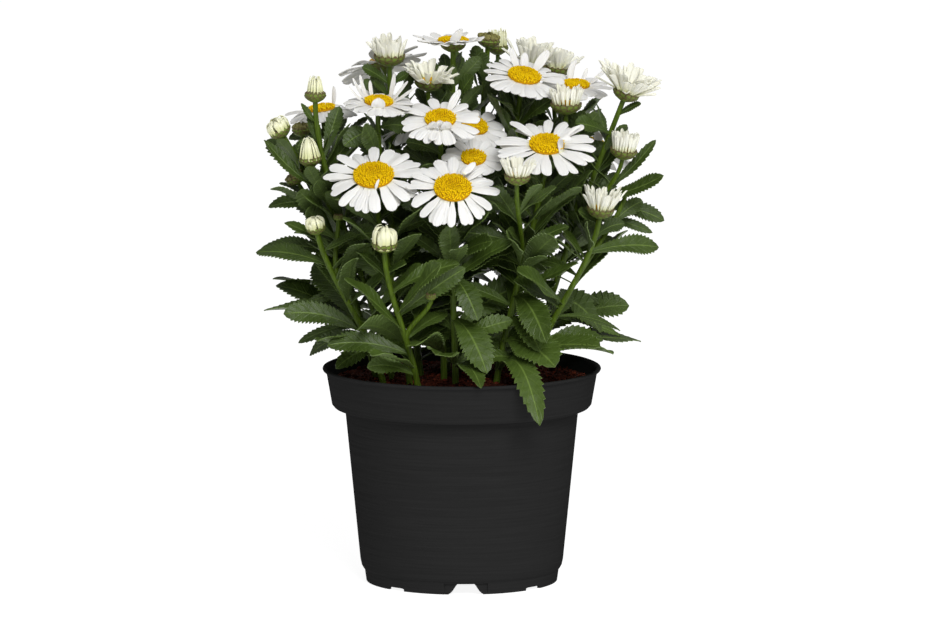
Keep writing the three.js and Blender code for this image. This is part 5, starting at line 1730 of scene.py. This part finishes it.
# Leaves that fill the stems: length and slope from the lowest to the highest, and where no leaf goes,
# which is past the lip of the pot below one height, or into the soil below another
FILL_HEIGHT = 170
FILL_LENGTHS = (56, 36)
FILL_SLOPES = (2, 48)
FILL_SLOPE_SPREAD = 22
LIP_FROM = 62
OVER_THE_LIP = 158
OVER_THE_SOIL = 144
FINE_BLADE_FROM = 46


def place_leaf(leaf, leaves, node, tries, may_hide=False):
    """Puts a leaf in its first posture that is inside the plant and clear of what is there already."""
    head = HEADS[leaf["on"]].at
    for posture in LEAF_POSTURES[:tries]:
        bent = bent_leaf(leaf, *posture)
        width = np.interp(bent["tip"][2], (205, 260), (0.55, 1)) * SPREAD_WIDTH
        if math.hypot(bent["tip"][0], bent["tip"][1] * SPREAD_WIDTH / SPREAD_DEPTH) > width:
            continue
        strip = leaf_strip(bent)
        points = strip[0]
        lowest = np.where(np.hypot(points[:, 0], points[:, 1]) > LIP_FROM, OVER_THE_LIP, OVER_THE_SOIL)
        highest = (head[2] + VIEW_DROP * head[1]) - 4
        if (points[:, 2] < lowest).any() or (points[:, 2] + VIEW_DROP * points[:, 1] > highest).any():
            continue
        if (may_hide or not hides_a_head(points)) and CROWD.is_clear(f"stem of {leaf['on']}", *strip):
            CROWD.add(f"leaf of {leaf['on']}", *strip)
            leaves[node].append(bent)
            return


def small_leaves(leaves):
    """The small leaves near the heads."""
    for number, row in enumerate(SMALL_LEAVES):
        draw = draws_for(1300 + number)
        leaf = listed_leaf(row, draw)
        leaf["phase"] = 6 * draw()
        leaf["twist"] = 0.8 * (draw() - 0.5)
        place_leaf(leaf, leaves, NODE_OF[leaf["on"]], 60, True)


def fill_leaves(leaves, settings, seed, share, lowest, tries):
    """More leaves up every stem and stalk from a lowest height, each clear of what is there: share
    is their size, and tries how many postures each may take."""
    step = settings.leaf_step / MM
    for number, (node, names) in enumerate(STEM_NODES):
        for place, name in enumerate(names):
            stalk = STALKS[name]
            draw = draws_for(seed + 10 * number + place)
            low = max(lowest, 0 if place == 0 else stalk.handles[0][2] + 6)
            top = HEADS[name].at[2] - (16 if HEADS[name].kind == "bud" else 13)
            height, turn = low + 4 * draw(), 360 * draw()
            while height < top:
                root = stalk.at_height(height)[0]
                up = np.clip((height - LEAVES_FROM) / FILL_HEIGHT, 0, 1)
                height += step * (0.8 + 0.5 * draw())
                turn += GOLDEN_TURN + 30 * draw()
                out = root[:2] / max(np.linalg.norm(root[:2]), 1)
                angle = math.radians(turn)
                length = np.interp(up, (0, 1), FILL_LENGTHS) * (0.7 + 0.5 * draw()) * share
                slope = math.radians(np.interp(up, (0, 1), FILL_SLOPES) + FILL_SLOPE_SPREAD * draw())
                tip = root + direction(angle, slope) * length
                roll = roll_towards(root, tip, np.array([*out, 0])) + (draw() - 0.5) * 0.7
                leaf = dict(on=name, root=root, tip=tip, width=length * (0.24 + 0.08 * draw()),
                            arch=(3 + 9 * draw()) * (1 - up), roll=roll, phase=6 * draw(),
                            twist=1.2 * (draw() - 0.5))
                place_leaf(leaf, leaves, node, tries)


class DAISY_OT_stems(Operator):
    """Model the leafy stems: round stems, cups with their bracts, buds, and toothed leaves"""

    bl_idname = "daisy.stems"
    bl_label = "Stems and leaves"

    def execute(self, context):
        settings = context.scene.daisy_plant
        kit = Kit()
        skin, blade, bract = stem_skin(settings), leaf_blade(settings), cup_bract()
        cream = ray_petal("Ray petal, closed", linear("#eaeac6"), linear("#b7bd62"), 0.45)
        unripe = ray_petal("Ray petal, unripe", linear("#7f7a45"), linear("#5a4a34"), 0.6)
        stems = {}
        for name, stalk in STALKS.items():
            stems[name] = model_stem(stalk)
            CROWD.add(f"stem of {name}", *stems[name])
        leaves = solid_leaves()
        for row in leaves.values():
            for leaf in row:
                leaf["twist"] = 0.35 * math.sin(leaf["phase"])
                CROWD.add(f"leaf of {leaf['on']}", *leaf_strip(leaf))
        small_leaves(leaves)
        fill_leaves(leaves, settings, 1500, 1, LEAVES_FROM - 4, 120)
        fill_leaves(leaves, settings, 2500, 0.85, 215, 60)
        thickness = settings.leaf_thickness / MM
        for number, (node, names) in enumerate(STEM_NODES):
            draw = draws_for(700 + number)
            pile = Pile()
            for name in names:
                pile.add(*stems[name], 0)
                add_cup(pile, HEADS[name], kit, 0, 2, draw)
                if HEADS[name].kind == "bud":
                    add_bud(pile, HEADS[name], kit, draw)
            for leaf in leaves[node]:
                length = np.linalg.norm(leaf["tip"] - leaf["root"])
                form = kit.large_leaf if length > FINE_BLADE_FROM else kit.small_leaf
                upper = (form.face + 1) / 2
                low = np.clip((230 - leaf["root"][2]) / 90, 0, 1)
                pile.add(lay_leaf(form, leaf, thickness), form.faces, 1, uv=form.uv,
                         tone=0.75 * draw() * low + 0.25 * draw(), upper=upper)
            finish(pile.piece(f"{node}_grown", [skin, blade, bract, cream, unripe]), "green_leaf", node)
        return {"FINISHED"}


# Stage

PHOTO_WIDTH = 930
LOOK_AT = (2.2 * MM, 0, 185.8 * MM)
MM_PER_PIXEL = 0.6815
SENSOR_WIDTH = 36
MIDDLE_OF_PLANT = Vector((0, 0, 0.22))


def add_light(name, location, size, power):
    """A soft square light that points at the plant."""
    deselect()
    bpy.ops.object.light_add(type="AREA", location=location)
    light = bpy.context.object
    light.name = name
    light.data.size = size
    light.data.energy = power
    light.rotation_euler = (MIDDLE_OF_PLANT - Vector(location)).to_track_quat("-Z", "Y").to_euler()


class DAISY_OT_stage(Operator):
    """Set up the pale floor, the soft light and the camera"""

    bl_idname = "daisy.stage"
    bl_label = "Stage"

    def execute(self, context):
        settings = context.scene.daisy_stage
        deselect()
        bpy.ops.mesh.primitive_plane_add(size=14, location=(0, 0, -0.2 * MM))
        floor = bpy.context.object
        floor.name = "floor"
        material, _, shader = new_material("White light table")
        shader.inputs["Base Color"].default_value = (*linear("#989898"), 1)
        shader.inputs["Emission Color"].default_value = (1, 1, 1, 1)
        shader.inputs["Emission Strength"].default_value = settings.table
        shader.inputs["Roughness"].default_value = 0.9
        floor.data.materials.append(material)
        world = bpy.data.worlds.new("Studio")
        world.use_nodes = True
        world.node_tree.nodes["Background"].inputs[0].default_value = (1, 1, 1, 1)
        world.node_tree.nodes["Background"].inputs[1].default_value = settings.surround
        context.scene.world = world
        add_light("Key", (0.55, -1.9, 1.75), 1.2, settings.key)
        add_light("Fill left", (-2.2, -0.6, 0.9), 1.4, settings.fill)
        add_light("Fill right", (2.2, -0.8, 0.9), 1.4, settings.fill)
        look = Vector(LOOK_AT)
        back = Vector((0, -math.cos(settings.elevation), math.sin(settings.elevation)))
        bpy.ops.object.camera_add(location=look + back * settings.distance)
        camera = bpy.context.object
        camera.rotation_euler = (-back).to_track_quat("-Z", "Y").to_euler()
        camera.data.sensor_width = SENSOR_WIDTH
        camera.data.lens = SENSOR_WIDTH * settings.distance / (PHOTO_WIDTH * MM_PER_PIXEL * MM)
        camera.data.clip_end = 100
        context.scene.camera = camera
        context.scene.view_settings.view_transform = "Standard"
        return {"FINISHED"}


class DAISY_PT_panel(Panel):
    """The pieces of the potted daisy."""

    bl_label = "Potted shasta daisy"
    bl_idname = "DAISY_PT_panel"
    bl_space_type = "VIEW_3D"
    bl_region_type = "UI"
    bl_category = "Daisy"

    def draw(self, context):
        for operator, group in STEPS:
            box = self.layout.box()
            box.operator(operator)
            settings = getattr(context.scene, group)
            for name in settings.__annotations__:
                box.prop(settings, name)


STEPS = (
    ("daisy.stage", "daisy_stage"),
    ("daisy.pot", "daisy_pot"),
    ("daisy.soil", "daisy_soil"),
    ("daisy.blooms", "daisy_plant"),
    ("daisy.openings", "daisy_plant"),
    ("daisy.stems", "daisy_plant"),
)
GROUPS = {
    "daisy_pot": PotSettings,
    "daisy_soil": SoilSettings,
    "daisy_plant": PlantSettings,
    "daisy_stage": StageSettings,
}
OPERATORS = (
    DAISY_OT_stage,
    DAISY_OT_pot,
    DAISY_OT_soil,
    DAISY_OT_blooms,
    DAISY_OT_openings,
    DAISY_OT_stems,
)


def register():
    """Adds the settings, operators and panel."""
    for name, group in GROUPS.items():
        bpy.utils.register_class(group)
        setattr(bpy.types.Scene, name, PointerProperty(type=group))
    for item in (*OPERATORS, DAISY_PT_panel):
        bpy.utils.register_class(item)


def unregister():
    """Takes the panel, operators and settings away."""
    for item in reversed((*OPERATORS, DAISY_PT_panel)):
        bpy.utils.unregister_class(item)
    for name, group in GROUPS.items():
        delattr(bpy.types.Scene, name)
        bpy.utils.unregister_class(group)


def main():
    """Makes every piece in order."""
    register()
    bpy.ops.daisy.stage()
    bpy.ops.daisy.pot()
    bpy.ops.daisy.soil()
    bpy.ops.daisy.blooms()
    bpy.ops.daisy.openings()
    bpy.ops.daisy.stems()  # last, because leaves keep clear of the blooms and heads
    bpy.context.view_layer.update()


if __name__ == "__main__":
    main()
